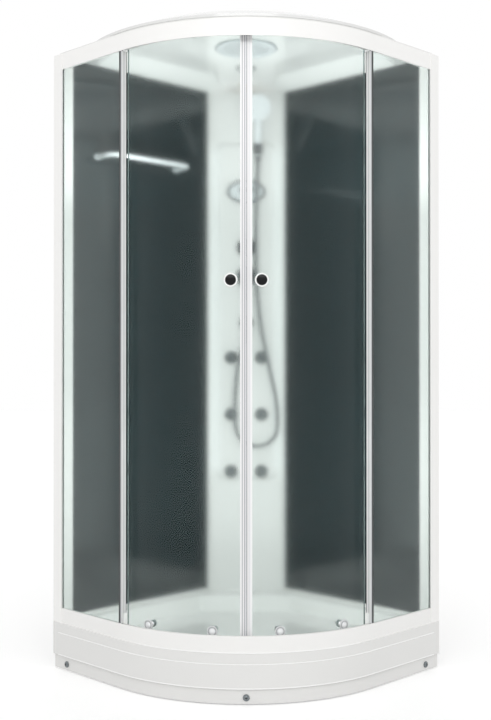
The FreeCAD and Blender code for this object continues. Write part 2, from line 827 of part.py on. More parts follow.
BOTTOM_WHEEL_Z = "(tray_top + bottom_ledge + fit_gap + bottom_wheel_radius)"
TOP_WHEEL_Z = "(%s + top_ledge + fit_gap + top_wheel_radius)" % TOP_RAIL_UNDER
WHEEL_PLACES = [
    ("lead", "bottom", "lead_wheel_angle", BOTTOM_WHEEL_Z, "bottom_wheel_radius"),
    ("trail", "bottom", "trail_wheel_angle", BOTTOM_WHEEL_Z, "bottom_wheel_radius"),
    ("lead", "top", "lead_wheel_angle", TOP_WHEEL_Z, "top_wheel_radius"),
    ("trail", "top", "trail_wheel_angle", TOP_WHEEL_Z, "top_wheel_radius"),
]


def make_door_glass(word, side):
    blank = body("door_blank_" + word)
    out, deep = "door_glass_inset", DOOR_INNER
    first, last = "door_start_angle", "door_end_angle"
    outer, inner = "front_radius - %s" % out, "front_radius - %s" % deep
    loop = [on_arc(side, out, first) + (outer, -side), on_arc(side, out, last),
            on_arc(side, deep, last) + (inner, side), on_arc(side, deep, first)]
    pad(blank, [loop], "door_top - door_bottom", "door_bottom")
    tools = [door_hole(side, angle, height, "glass_hole_radius")
             for end, level, angle, height, radius in WHEEL_PLACES]
    tools.append(door_hole(side, "knob_angle", "knob_height", "glass_hole_radius"))
    keep(cut("door_glass_body_" + word, blank, tools), "door_glass_" + word)


def on_axis(item, side, angle, height, inset="0"):
    """Place a turned piece on a radial axis, its zero at a distance in from the front."""
    x, y = on_arc(side, inset, angle)
    return place(item, x, y, height, outward(side, angle))


def make_running_gear(word, side):
    hangers = []
    inner = "-%s" % DOOR_INNER
    outer_face = "-door_glass_inset"
    wheel_back = "-wheel_inset - wheel_width - fit_gap"
    for end, level, angle, height, radius in WHEEL_PLACES:
        axle = turned("hanger", [
            ("0", inner + " - 8"), ("nut_radius - 2", inner + " - 8"),
            ("nut_radius", inner + " - 6"), ("nut_radius", inner + " - fit_gap"),
            ("glass_hole_radius - fit_gap", inner + " - fit_gap"),
            ("glass_hole_radius - fit_gap", outer_face + " + fit_gap"),
            ("nut_radius - 2", outer_face + " + fit_gap"),
            ("nut_radius - 2", outer_face + " + 4"),
            ("spacer_radius", outer_face + " + 6"),
            ("spacer_radius", wheel_back), ("axle_radius", wheel_back),
            ("axle_radius", "-wheel_inset - 1.5 + fit_gap"),
            ("axle_radius * 2", "-wheel_inset - 1.5 + fit_gap"),
            ("axle_radius * 2 - 1", "-wheel_inset"), ("0", "-wheel_inset")])
        hangers.append(on_axis(axle, side, angle, height))
        bore = "axle_radius + shaft_gap"
        wheel = turned("wheel", [
            (bore, "-wheel_inset - wheel_width"),
            ("%s - 1" % radius, "-wheel_inset - wheel_width"),
            (radius, "-wheel_inset - wheel_width + 1"),
            (radius, "-wheel_inset - 1"), ("%s - 1" % radius, "-wheel_inset"),
            ("axle_radius * 2 + fit_gap", "-wheel_inset"),
            ("axle_radius * 2 + fit_gap", "-wheel_inset - 1.5"),
            (bore, "-wheel_inset - 1.5")])
        keep(on_axis(wheel, side, angle, height), "wheel_%s_%s_%s" % (word, level, end))
    group("door_hangers_" + word, hangers)


def make_knob(word, side):
    """A round knob on each face of the door, joined by the stud through the glass."""
    out, deep = "-door_glass_inset", "-%s" % DOOR_INNER
    stud = "glass_hole_radius - 1"
    neck = "knob_radius * 0.5"
    knob = turned("door_knob", [
        ("0", deep + " - 23"), ("knob_radius - 3", deep + " - 23"),
        ("knob_radius", deep + " - 20"), ("knob_radius", deep + " - 12"),
        (neck, deep + " - 7"), (neck, deep + " - 3"),
        ("knob_radius - 5", deep + " - fit_gap"), (stud, deep + " - fit_gap"),
        (stud, out + " + fit_gap"), ("knob_radius - 5", out + " + fit_gap"),
        (neck, out + " + 3"), (neck, out + " + 7"),
        ("knob_radius", out + " + 12"), ("knob_radius", out + " + 20"),
        ("knob_radius - 2.5", out + " + 23"), ("knob_radius - 5", out + " + 23"),
        ("knob_radius - 5.5", out + " + 21.5"), ("0", out + " + 21.5")])
    keep(on_axis(knob, side, "knob_angle", "knob_height"), "door_knob_" + word)


def make_magnet_seal(word, side):
    """The soft closing strip on a door's edge: a clip on the glass and a magnet nose."""
    seal = body("magnet_seal_" + word)
    radius = "front_radius - door_glass_inset"
    edge = "%s * sin(door_start_angle)" % text(radius)
    face = "%s - %s * cos(door_start_angle)" % (ARC_Y, text(radius))
    front = "%s - (magnet_depth - glass_thickness) / 2 + 0.15" % face
    back = "%s + magnet_depth" % text(front)
    clip_out = "%s - 2 * fit_gap" % face
    clip_in = "%s + glass_thickness + 2 * fit_gap" % face
    far = "magnet_width"
    web = "%s - 1.5 * fit_gap" % edge

    def at(x, y):
        return ("%d * %s" % (-side, text(x)), y)

    bulge = "magnet_depth / 2"
    loop = [
        at("fit_gap / 2", front), at("fit_gap / 2", back), at("%s - 1" % edge, back),
        at(far, clip_in + " + 1.5"), at(far, clip_in), at(web, clip_in),
        at(web, clip_out), at(far, clip_out),
        at(far, clip_out + " - 1.5"), at("%s - 1" % edge, front)]
    if side < 0:
        loop = loop[::-1]
    pad(seal, [loop], "door_top - door_bottom - 30", "door_bottom + 8")
    keep(seal, "magnet_seal_" + word)


# ---- back panels, column -------------------------------------------------------

def make_back_panel(name, swap):
    panel = body(name, "wall")
    pad(panel, [swap(box("panel_start", LEG_START + " - fit_gap", "fit_gap",
                         "fit_gap + panel_thickness"))],
        "frame_top - tray_top - 2 * fit_gap", "tray_top + fit_gap")
    keep(panel, name)


def make_corner_column():
    """The moulded column across the corner, with a raised middle for the fittings."""
    column = body("corner_column")
    glass = "fit_gap + panel_thickness + fit_gap"

    def wall_point(side, along, out):
        return ("%d * (%s - %s) / sqrt(2)" % (side, text(along), text(out)),
                "-(%s + %s) / sqrt(2)" % (text(along), text(out)))

    far = "panel_start + column_flange + 1"
    outer = glass + " + column_sheet"
    face, rear = "-column_depth", "-column_depth + column_sheet"
    inner_half = "column_half_width - column_sheet"
    plan = [
        wall_point(-1, far, glass), wall_point(-1, far, outer), ("-column_half_width", face),
        ("column_half_width", face), wall_point(1, far, outer), wall_point(1, far, glass),
        (inner_half, rear), ("-(%s)" % inner_half, rear)]
    height = "frame_top - tray_top - 2 * fit_gap"
    pad(column, [plan], height, "tray_top + fit_gap")
    wide = "boss_half_width + boss_slope"
    foot = soft_box(wide, "boss_bottom - boss_end_slope", "boss_top + boss_end_slope",
                    "3 * boss_depth")
    raised = soft_box("boss_half_width", "boss_bottom", "boss_top", "2 * boss_depth")
    loft(column, "AdditiveLoft", foot, raised, "column_depth - 1",
         "column_depth + boss_depth", "XZ_Plane")
    limit = size("-column_depth - boss_depth")

    def boss_rim(edge, middle):
        return abs(middle.y - limit) < 1e-6 and edge.Length > 1

    round_edges(column, "boss_depth / 2", boss_rim)
    inside = "boss_half_width - column_sheet - boss_depth"
    hollow = box("-(%s)" % inside, inside, "boss_bottom + column_sheet + boss_depth",
                 "boss_top - column_sheet - boss_depth")
    pocket(column, [hollow], "boss_depth", "column_depth - column_sheet",
           plane="XZ_Plane", up=True)
    bores = [("0", "diverter_height", "9"), ("0", "mixer_height", "12"),
             ("0", "outlet_height", "9"), ("0", "control_height", "12"),
             ("holder_offset", "holder_height", "5")]
    for x, z in jet_places():
        bores.append((x, z, "9"))
    pocket(column, [], "column_depth + 2 * boss_depth", plane="XZ_Plane", up=True,
           circles=bores)
    keep(column, "corner_column")


# ---- fittings on the column ----------------------------------------------------

FORWARD = FreeCAD.Rotation(V(1, 0, 0), 90)


def on_column(item, x, z, out="0"):
    """Stand a turned piece on the raised face, its axis pointing out to the doors."""
    return place(item, x, "%s - %s" % (COLUMN_FACE, text(out)), z, FORWARD)


def jet_places():
    places = []
    for row in range(3):
        for sign in (-1, 1):
            places.append(("%d * jet_half_spacing" % sign, "jet_top - %d * jet_pitch" % row))
    return places


def make_jets():
    """Six body jets: a domed ring on the column and a ball nozzle that tilts in it."""
    rings = []
    cup = "nozzle_radius + fit_gap"
    floor = "0.6"
    middle = "%s + fit_gap + nozzle_radius" % floor
    face = "nozzle_radius * 0.4"
    for index, (x, z) in enumerate(jet_places(), 1):
        ring = turned("jet_ring", [
            ("0", "-16"), ("8.5", "-16"), ("8.5", "fit_gap"), ("jet_radius", "fit_gap"),
            ("jet_radius", "4"), ("jet_radius - 2", "8"),
            ("nozzle_radius + 3.5", "12.5"), (cup, middle),
            (cup, floor), ("0", floor)])
        rings.append(on_column(ring, x, z))
        nozzle = turned("nozzle", [
            ("0", floor + " + fit_gap", "nozzle_radius", 1),
            ("sqrt(nozzle_radius ^ 2 - (%s) ^ 2)" % face, "%s + %s" % (middle, face)),
            ("nozzle_radius * 0.6", "%s + %s - 2" % (middle, face)),
            ("0", "%s + %s - 2" % (middle, face))])
        keep(on_column(nozzle, x, z), "jet_nozzle_%d" % index)
    group("jet_rings", rings)


def make_controls():
    """The oval control panel: a chromed surround with a plain face set in it."""
    def oval(grow):
        """Four arcs: a small one round each end, a large one over top and bottom."""
        wide = "(control_half_width + %s)" % grow
        tall = "(control_half_height + %s)" % grow
        small = "(%s * 0.62)" % tall
        large = "((%s - %s) ^ 2 + %s ^ 2 - %s ^ 2) / (2 * (%s - %s))" % (
            wide, small, tall, small, tall, small)
        share = "(%s) / ((%s) - %s)" % (large, large, small)
        x = "(%s - %s) * %s" % (wide, small, share)
        z = "(%s - (%s)) * (1 - %s)" % (tall, large, share)
        above, below = "control_height + %s" % z, "control_height - %s" % z
        return [(x, below, small, 1), (x, above, large, 1),
                ("-%s" % x, above, small, 1), ("-%s" % x, below, large, 1)]

    rim = body("control_bezel")
    base = "column_depth + boss_depth + fit_gap"
    pad(rim, [oval("0")], "control_depth", base, plane="XZ_Plane")
    pocket(rim, [oval("-8")], "control_depth", base + " + control_depth", plane="XZ_Plane")
    limit = size("-(%s + control_depth)" % base)
    round_edges(rim, "2.5", lambda edge, middle: abs(middle.y - limit) < 1e-6)
    keep(rim, "control_bezel")
    face = body("control_face")
    pad(face, [oval("-8 - fit_gap")], "control_depth - 3", base, plane="XZ_Plane")
    keep(face, "control_face")


def make_valve_body():
    """The fixed faces of the mixing valve and of the diverter above it."""
    faces = []
    for z, radius, bore, front in (("mixer_height", "mixer_radius", "11.5", "16"),
                                   ("diverter_height", "diverter_radius", "8.5", "7")):
        face = turned("valve_face", [
            ("0", "-30"), (bore, "-30"), (bore, "fit_gap"), (radius, "fit_gap"),
            (radius, "3"), (radius + " * 0.84", "7"), (radius + " * 0.6", "7"),
            (radius + " * 0.6", front + " + 0.01"), ("0", front + " + 0.01")])
        faces.append(on_column(face, "0", z))
    group("valve_body", faces)


def make_mixer():
    cap = turned("mixer_cap_turned", [
        ("0", "16 + fit_gap"), ("mixer_radius * 0.66", "16 + fit_gap"),
        ("mixer_radius * 0.7", "19"), ("mixer_radius * 0.66", "36"),
        ("mixer_radius * 0.5", "42", dome("mixer_radius * 0.5", "3"), 1), ("0", "45")])
    slot = body("mixer_slot")
    half = "lever_width / 2 + fit_gap"
    pad(slot, [box("-(%s)" % half, half, "-mixer_radius", "-1")], "30", "24",
        plane="XZ_Plane")
    place(slot, "0", COLUMN_FACE, "mixer_height")
    keep(cut("mixer_cap", on_column(cap, "0", "mixer_height"), [slot]), "mixer_cap")

    lever = body("mixer_lever")
    side_view = [("-29", "-8", "6", -1), ("-40", "-8"), ("-54", "-27"), ("-69", "-90"),
                 ("-60", "-93"), ("-42", "-30"), ("-31", "-14")]
    profile = sketch_on(lever, "YZ_Plane", [side_view])
    made = feature(lever, "Pad", profile, "lever_width")
    made.SideType = "Symmetric"
    place(lever, "0", COLUMN_FACE, "mixer_height")
    keep(lever, "mixer_lever")


def make_diverter():
    """The five-lobed knob that chooses which outlet the water goes to."""
    knob = body("diverter_knob")
    outer, waist = "diverter_radius * 0.8", "diverter_radius * 0.66"
    grip = []
    for lobe in range(5):
        for part, radius in ((-14, outer), (14, outer), (36, waist)):
            angle = 90 + lobe * 72 + part
            grip.append(("%s * %.6f" % (radius, math.cos(math.radians(angle))),
                         "%s * %.6f" % (radius, math.sin(math.radians(angle)))))
    pad(knob, [grip], "24", "7 + fit_gap")
    round_edges(knob, "1.5", lambda edge, middle: middle.z > size("31 - 1"))
    keep(on_column(knob, "0", "diverter_height"), "diverter_knob")


OUTLET_DROP = "24"
OUTLET_REACH = "26"


def make_hose_outlet():
    """The wall outlet: a rosette with a spout that turns down to the hose."""
    rosette = on_column(turned("outlet_rosette", [
        ("0", "-30"), ("8.5", "-30"), ("8.5", "fit_gap"), ("outlet_radius", "fit_gap"),
        ("outlet_radius", "4"), ("outlet_radius - 6", "9"), ("12", "12"),
        ("12", "30"), ("9", "36"), ("0", "36")]), "0", "outlet_height")
    drop = turned("outlet_drop", [
        ("0", "0"), ("9", "0"), ("9", "-14"), ("10.5", "-14"), ("10.5", "-%s" % OUTLET_DROP),
        ("0", "-%s" % OUTLET_DROP)])
    place(drop, "0", "%s - %s" % (COLUMN_FACE, OUTLET_REACH), "outlet_height")
    keep(fused("hose_outlet_body", [rosette, drop]), "hose_outlet")


# ---- hand shower, its holder and hose ------------------------------------------

HANDLE_LENGTH = "150"
HANDLE_BELOW = "26"


def hand_turn():
    return FreeCAD.Rotation(V(1, 0, 0), size("holder_tilt"))


def hand_point(x, up, out):
    """A point of the hand shower: up its handle, and out of its face."""
    tilt = hand_turn()
    base = V(0, size("%s - holder_reach" % COLUMN_FACE), size("holder_height"))
    return base + tilt.multVec(V(0, -out, up)) + V(size("holder_offset") + x, 0, 0)


def make_holder():
    """The bracket that the handle stands in: a boss on the column and a forked cup."""
    boss = on_column(turned("holder_boss", [
        ("0", "-12"), ("4.7", "-12"), ("4.7", "fit_gap"), ("15", "fit_gap"), ("15", "5"),
        ("9", "9"), ("9", "14"), ("0", "14")]), "holder_offset", "holder_height")
    keep(boss, "holder_boss")
    cup = turned("holder_cup_turned", [
        ("handle_radius + fit_gap", "-18"), ("handle_radius + 5", "-18"),
        ("handle_radius + 6", "18"), ("handle_radius + fit_gap", "18")])
    hub = doc.addObject("Part::Cylinder", "holder_hub")
    bind(hub, "Radius", "8")
    bind(hub, "Height", "holder_reach - 14 - fit_gap - handle_radius - 4")
    reach = "%s - holder_reach" % COLUMN_FACE
    place(cup, "holder_offset", reach, "holder_height", hand_turn())
    place(hub, "holder_offset", "%s - 14 - fit_gap" % COLUMN_FACE, "holder_height", FORWARD)
    keep(fused("shower_holder_body", [cup, hub]), "shower_holder")


def make_hand_shower():
    """The handset: a tapered handle that bends into a round spray head."""
    low, high = "-%s" % HANDLE_BELOW, HANDLE_LENGTH
    handle = turned("handle", [
        ("0", low), ("hose_radius + 3", low), ("hose_radius + 3", low + " + 6"),
        ("handle_radius", "-18"), ("handle_radius", "18"), ("handle_radius + 3", "40"),
        ("handle_radius + 4", "100"), ("handle_radius + 1", high), ("0", high)])
    head = turned("spray_head", [
        ("0", "-14"), ("20", "-14"), ("hand_head_radius - 4", "-2"),
        ("hand_head_radius", "4"), ("hand_head_radius", "9"),
        ("hand_head_radius - 4", "12"), ("0", "12")])
    tilt = hand_turn()
    place(handle, "holder_offset", "%s - holder_reach" % COLUMN_FACE,
          "holder_height", tilt)
    at = hand_point(0, size(HANDLE_LENGTH), 6)
    face_turn = FreeCAD.Rotation(V(1, 0, 0), size("holder_tilt") + 90 - 6)
    head.Placement = FreeCAD.Placement(at + V(0, size(CORNER_Y), 0), face_turn)
    keep(fused("hand_shower_body", [handle, head]), "hand_shower")


def hose_route():
    """The free hose: down from the handset's nut, round its loop, up to the outlet.

    Its lower loop is a half circle of six equal turns. The rest is a slow S."""
    face, outlet = size(COLUMN_FACE), size("outlet_height")
    top = hand_point(0, -size(HANDLE_BELOW) - size("fit_gap"), 0)
    down = hand_turn().multVec(V(0, 0, -1))
    end = V(0, size("%s - %s" % (COLUMN_FACE, OUTLET_REACH)),
            outlet - size("%s + fit_gap" % OUTLET_DROP))
    fall = [(41, 27, 543), (38, 29, 460), (36, 32, 376), (35, 34, 286), (36, 36, 192),
            (41, 38, 100), (50, 42, 12), (64, 47, -72), (82, 52, -154), (100, 57, -232),
            (113, 62, -300)]
    rise = [(-42, 58, -332), (-41, 53, -262), (-34, 47, -186), (-22, 40, -116)]
    loop = []
    for step in range(6):
        angle = math.radians(-15 - 30 * step)
        loop.append((39 + size("loop_radius") * math.cos(angle), 65 - step * 0.8,
                     size("loop_height") + size("loop_radius") * math.sin(angle)))
    middle = [V(x, face - out, outlet + up) for x, out, up in fall + loop + rise]
    return [top, top + down * 38] + middle + [end - V(4, 4, 52), end - V(0, 0, 22), end]


def rounded_path(points, largest=1e6, share=0.45):
    """Straight runs joined by tangent arcs, each as large as its two runs allow."""
    edges, radii = [], []
    last = points[0]
    for index in range(1, len(points) - 1):
        before, here, after = points[index - 1:index + 2]
        into = (here - before).normalize()
        away = (after - here).normalize()
        half_turn = into.getAngle(away) / 2
        reach = share * min((here - before).Length, (after - here).Length)
        radii.append(min(reach / math.tan(half_turn), largest))
        reach = radii[-1] * math.tan(half_turn)
        start, end = here - into * reach, here + away * reach
        inward = (away - into).normalize()
        middle = here + inward * (radii[-1] * (1 / math.cos(half_turn) - 1))
        if (start - last).Length > 1e-6:
            edges.append(Part.makeLine(last, start))
        edges.append(Part.Arc(start, middle, end).toShape())
        last = end
    edges.append(Part.makeLine(last, points[-1]))
    return Part.Wire(edges), radii


def make_hose():
    points = hose_route()
    path, radii = rounded_path(points)
    print("hose length %.0f mm, radii %s" % (path.Length, [round(r) for r in radii]))
    start = points[0]
    circle = Part.Circle(start, points[1] - start, size("hose_radius")).toShape()
    tube = path.makePipeShell([Part.Wire(circle)], True, False)
    section = math.pi * size("hose_radius") ** 2
    print("hose volume %.0f of %.0f" % (tube.Volume, section * path.Length))
    made = doc.addObject("Part::Feature", "shower_hose")
    made.Shape = tube
    place(made)
    keep(made, "shower_hose")


# ---- roof and ceiling ----------------------------------------------------------

def make_roof():
    """The moulded roof: a flange, a domed crown and a lower middle for the fittings."""
    roof = body("roof_shell", "wall")
    rim_top = "frame_top + roof_flange + crown_rim"
    dome_top = CEILING + " + roof_sheet"
    pad(roof, [quadrant("roof_flange_inset", "wall_gap")], "roof_flange", "frame_top")
    pad(roof, [crown("crown_radius", "crown_wall_inset")], "crown_rim",
        "frame_top + roof_flange")
    slope = "roof_sheet"
    loft(roof, "AdditiveLoft", crown("crown_radius - 2", "crown_wall_inset + 2"),
         crown("ceiling_radius + 6 * %s" % slope, "ceiling_wall_inset - 6 * %s" % slope),
         rim_top, dome_top)
    loft(roof, "SubtractiveLoft", crown("roof_mouth_radius", "roof_mouth_inset"),
         crown("ceiling_radius", "ceiling_wall_inset"), "frame_top", CEILING)
    narrow = "spine_half_width"

    def spine(inset, front_cut, rear):
        half = "(%s - %s)" % (narrow, inset)
        wide = "(2 * spine_half_width - %s)" % inset
        return [from_diagonal(*p) + tuple(r) for p, r in (
            (("-%s" % half, rear), ()), ((half, rear), ()),
            ((half, "-lamp_distance - 70"), ("330", -1)),
            ((wide, "-rain_distance - 90"), ()),
            (("%s + 60 - %s" % (wide, inset), front_cut), ()),
            (("-(%s + 60 - %s)" % (wide, inset), front_cut), ()),
            (("-%s" % wide, "-rain_distance - 90"), ("330", -1)),
            (("-%s" % half, "-lamp_distance - 70"), ()))]

    lower = spine("0", "-rain_distance - 190", "-column_depth - boss_depth - 24")
    upper = spine("roof_sheet", "-rain_distance - 186", "-column_depth - boss_depth - 28")
    pad(roof, [lower], "spine_drop + roof_sheet", SPINE)
    pocket(roof, [upper], "spine_drop", dome_top)
    holes = [from_diagonal("0", "-rain_distance") + ("rain_stem_radius + fit_gap",),
             from_diagonal("0", "-lamp_distance") + ("lamp_radius - 6",),
             from_diagonal("0", PIPE_BACK) + ("pipe_radius + 3",)]
    pocket(roof, [], "3 * ceiling_wall_inset", "%s + 1" % text(dome_top), circles=holes)
    keep(roof, "roof_shell")


def make_rain_shower():
    """The round overhead shower on its stem, clamped to the roof by a nut."""
    nut = "rain_stem_radius + 9"
    head = turned("rain_shower", [
        ("0", "-5"), ("rain_radius - 22", "-5"), ("rain_radius - 20", "-7"),
        ("rain_radius - 6", "-8"), ("rain_radius", "-4"), ("rain_radius - 3", "-fit_gap"),
        ("rain_stem_radius", "-fit_gap"), ("rain_stem_radius", "roof_sheet + fit_gap"),
        (nut, "roof_sheet + fit_gap"), (nut, "roof_sheet + 9"),
        ("rain_stem_radius", "roof_sheet + 9"), ("rain_stem_radius", "20"), ("0", "20")])
    keep(place(head, "0", "-rain_distance", SPINE), "rain_shower")


def make_lamp():
    bezel = turned("lamp_bezel", [
        ("lamp_radius - 10", "-3"), ("lamp_radius - 8", "-5"), ("lamp_radius - 2", "-5"),
        ("lamp_radius", "-fit_gap"), ("lamp_radius - 6 - fit_gap", "-fit_gap"),
        ("lamp_radius - 6 - fit_gap", "22"), ("lamp_radius - 8", "22"),
        ("lamp_radius - 8", "0"), ("lamp_radius - 10", "0")])
    keep(place(bezel, "0", "-lamp_distance", SPINE), "lamp_bezel")
    lens = turned("lamp_lens", [
        ("0", "-5"), ("lamp_radius - 10 - fit_gap", "-2", "3 * lamp_radius", 1)][:1] + [
        ("lamp_radius - 10 - fit_gap", "-2.5"), ("lamp_radius - 10 - fit_gap", "fit_gap"),
        ("lamp_radius - 8 - fit_gap", "fit_gap"), ("lamp_radius - 8 - fit_gap", "3"),
        ("0", "3")])
    keep(place(lens, "0", "-lamp_distance", SPINE), "lamp_lens")


# ---- pipework ------------------------------------------------------------------

PIPE_BACK = "(-column_depth + 42)"


def tube(points, radius):
    """A round pipe through the points of the diagonal frame, with bent corners."""
    path = rounded_path(points, 2.5 * radius)[0]
    ring = Part.Circle(points[0], points[1] - points[0], radius).toShape()
    return path.makePipeShell([Part.Wire(ring)], True, False)


def make_pipework():
    """Pipes behind the column: two supplies, a riser over the roof and jet branches."""
    back, radius = size(PIPE_BACK), size("pipe_radius")
    fitting_end = size("%s + 30 + fit_gap" % COLUMN_FACE)
    jet_end = size("%s + 16 + fit_gap" % COLUMN_FACE)
    mixer = size("mixer_height")
    apart = size("supply_half_spacing")
    shapes = []
    for sign in (-1, 1):
        low = V(sign * apart, back, size("supply_height"))
        tail = low + V(0, size("stub_reach"), 0)
        shapes.append(
            tube([tail, low, V(sign * apart, back, mixer), V(0, back, mixer)], radius))
        shapes.append(Part.makeCylinder(
            size("stub_radius"), size("stub_length"), tail, V(0, -1, 0)))
    over = size(CEILING + " + roof_sheet + 4 + pipe_radius")
    rain = V(0, size("-rain_distance"), size(SPINE + " + 20 + fit_gap"))
    lowest = V(0, back, size("jet_top - 2 * jet_pitch"))
    shapes.append(tube([lowest, V(0, back, over), V(0, rain.y, over)], radius))
    shapes.append(Part.makeCylinder(radius + 3, over + radius - rain.z, rain))
    for height in ("mixer_height", "diverter_height", "outlet_height"):
        branch = V(0, back, size(height))
        shapes.append(Part.makeCylinder(radius, back - fitting_end, branch, V(0, -1, 0)))
    for x, z in jet_places():
        place_x, height = size(x), size(z)
        shapes.append(tube([V(place_x, jet_end, height), V(place_x, back, height),
                            V(0, back, height)], radius - 2))
    made = doc.addObject("Part::Feature", "water_pipes")
    made.Shape = shapes[0].fuse(shapes[1:]).removeSplitter()
    place(made)
    keep(made, "water_pipes")


# ---- shelf ---------------------------------------------------------------------

def make_shelf():
    """The glass shelf on the left wall, held by a chromed rod bent round its edge."""
    wall = "fit_gap + panel_thickness + fit_gap"
    first, last = "shelf_start", "shelf_start + shelf_length"
    rod = body("shelf_rail", "wall")
    bend = "shelf_depth * 0.35"
    radius = "shelf_rod_radius"
    line = [(first, wall), (first, "shelf_depth - %s" % bend, bend, -1),
            ("%s + %s" % (first, bend), "shelf_depth"),
            ("%s - %s" % (last, bend), "shelf_depth", bend, -1),
            (last, "shelf_depth - %s" % bend), (last, wall)]
    spine = sketch_on(rod, "XY_Plane", [line], height="shelf_height", closed=False)
    ring = sketch_on(rod, "XZ_Plane", circles=[(first, "shelf_height", radius)],
                     height="-(%s)" % wall)
    made = rod.newObject("PartDesign::AdditivePipe", "shelf_pipe")
    made.Profile = ring
    made.Spine = (spine, ["Edge%d" % index for index in range(1, 6)])
    for x in (first, last):
        pad(rod, [], "5", "-(%s)" % wall, plane="XZ_Plane", down=True,
            circles=[(x, "shelf_height", "1.5 * shelf_rod_radius")])
    keep(rod, "shelf_rail")
    plate = body("shelf_plate", "wall")
    inset = "(shelf_rod_radius + fit_gap)"
    near = "%s + 6" % wall
    loop = [("%s + %s" % (first, inset), near),
            ("%s - %s" % (last, inset), near),
            ("%s - %s" % (last, inset), "shelf_depth - %s" % bend,
             "%s - %s" % (bend, text(inset)), 1),
            ("%s - %s" % (last, bend), "shelf_depth - %s" % text(inset)),
            ("%s + %s" % (first, bend), "shelf_depth - %s" % text(inset),
             "%s - %s" % (bend, text(inset)), 1),
            ("%s + %s" % (first, inset), "shelf_depth - %s" % bend)]
    pad(plate, [loop], "shelf_plate", "shelf_height - shelf_plate / 2")
    keep(plate, "shelf_plate")


# ---- assembly ------------------------------------------------------------------

def make_cabin():
    make_tray_basin()
    make_tray_skirt()
    make_skirt_screws()
    make_tray_frame()
    make_feet()
    make_drain()
    make_rails()
    both_sides("post", make_post)
    both_sides("fixed_glass", make_fixed_glass)
    both_sides("fixed_seal", make_fixed_seal)
    both_sides("back_panel", make_back_panel)
    for word, side in DOOR_SIDES:
        make_door_glass(word, side)
        make_running_gear(word, side)
        make_knob(word, side)
        make_magnet_seal(word, side)
    make_corner_column()
    make_jets()
    make_controls()
    make_valve_body()
    make_mixer()
    make_diverter()
    make_hose_outlet()
    make_holder()
    make_hand_shower()
    make_hose()
    make_roof()
    make_rain_shower()
    make_lamp()
    make_pipework()
    make_shelf()


def write_parts():
    doc.recompute()
    faults = [item.Name for item in doc.Objects
              if "Invalid" in item.State or "Error" in item.State]
    faults += [item.Label for item in parts if item.Shape.isNull()
               or not item.Shape.isValid() or not item.Shape.Solids]
    if faults:
        raise SystemExit("not made: " + ", ".join(faults))
    os.makedirs("parts", exist_ok=True)
    for item in parts:
        item.Shape.exportStep("parts/%s.step" % item.Label)
    print("%d sub-parts" % len(parts))


make_cabin()
write_parts()
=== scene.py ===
import json
import math

import bpy
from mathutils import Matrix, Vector


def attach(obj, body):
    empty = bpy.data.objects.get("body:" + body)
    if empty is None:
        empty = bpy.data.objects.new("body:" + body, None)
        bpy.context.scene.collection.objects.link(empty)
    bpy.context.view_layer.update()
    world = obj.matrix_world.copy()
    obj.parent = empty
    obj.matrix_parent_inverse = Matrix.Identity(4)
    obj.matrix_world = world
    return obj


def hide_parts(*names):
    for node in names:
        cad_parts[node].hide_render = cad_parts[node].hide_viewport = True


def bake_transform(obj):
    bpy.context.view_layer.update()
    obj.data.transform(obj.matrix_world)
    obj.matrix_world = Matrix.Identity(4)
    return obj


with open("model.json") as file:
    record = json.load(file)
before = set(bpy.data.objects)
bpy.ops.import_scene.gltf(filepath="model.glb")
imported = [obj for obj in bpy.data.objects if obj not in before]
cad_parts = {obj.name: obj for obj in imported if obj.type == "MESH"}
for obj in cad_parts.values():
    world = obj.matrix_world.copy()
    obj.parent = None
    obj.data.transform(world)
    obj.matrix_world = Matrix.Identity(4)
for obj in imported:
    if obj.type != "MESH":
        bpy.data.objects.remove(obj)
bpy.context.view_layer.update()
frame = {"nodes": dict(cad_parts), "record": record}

# Looks for the corner steam shower cabin: materials for every node, the free hose, the
# small trim that the solids leave out, a pale floor, soft light and the camera.

SIDES = (("left", 1), ("right", -1))

# Places and sizes that belong to the solids, in metres. Each pair of the column's slopes
# goes from where its painted highlight starts to where it is full.
SIDE = 0.900
FRONT_RADIUS = 0.550
ROOM_CORNER_Y = 0.52249
ARC_CENTRE_Y = 0.02752
COLUMN_FACE_Y = ROOM_CORNER_Y - 0.158
COLUMN_SLOPE_INNER = (0.092, 0.104)
COLUMN_SLOPE_OUTER = (0.138, 0.126)
COLUMN_SLOPE_BOTTOM = (0.56, 0.62)
COLUMN_SLOPE_TOP = (1.84, 1.78)
OUTLET_HEIGHT = 1.154
HOLDER_BASE = (0.043, COLUMN_FACE_Y - 0.040, 1.796)
HANDSET_REACH = 0.15
HANDSET_TILT = math.radians(18)
RAIN_FACE = (0, ROOM_CORNER_Y - 0.644, 2.035)
SCREW_HEIGHT = 0.022
SCREW_INSET = 0.008
SCREW_WALL_DISTANCE = 0.068

# The same on the doors and the control panel, in millimetres. Angles are in degrees from
# the middle of the front, about the doors' axis. A row of wheels has a height and a radius.
DOOR_GLASS_RADIUS = 508
# DOOR_GLASS_EDGE: the angles over which the doors' glass turns to painted shade at its end.
DOOR_GLASS_EDGE = (46.1, 46.4)
KNOB_ANGLE = 5
KNOB_HEIGHT = 1247
WHEEL_FACE_RADIUS = 527.1
WHEEL_ANGLES = (("lead", 11), ("trail", 34.3))
WHEEL_ROWS = (("bottom", 209.8, 16), ("top", 1990.3, 14))
CONTROL_FACE_Y = 358.2
CONTROL_WINDOW_Z = 1650
CONTROL_BUTTONS_Z = 1626


# ---- materials -----------------------------------------------------------------

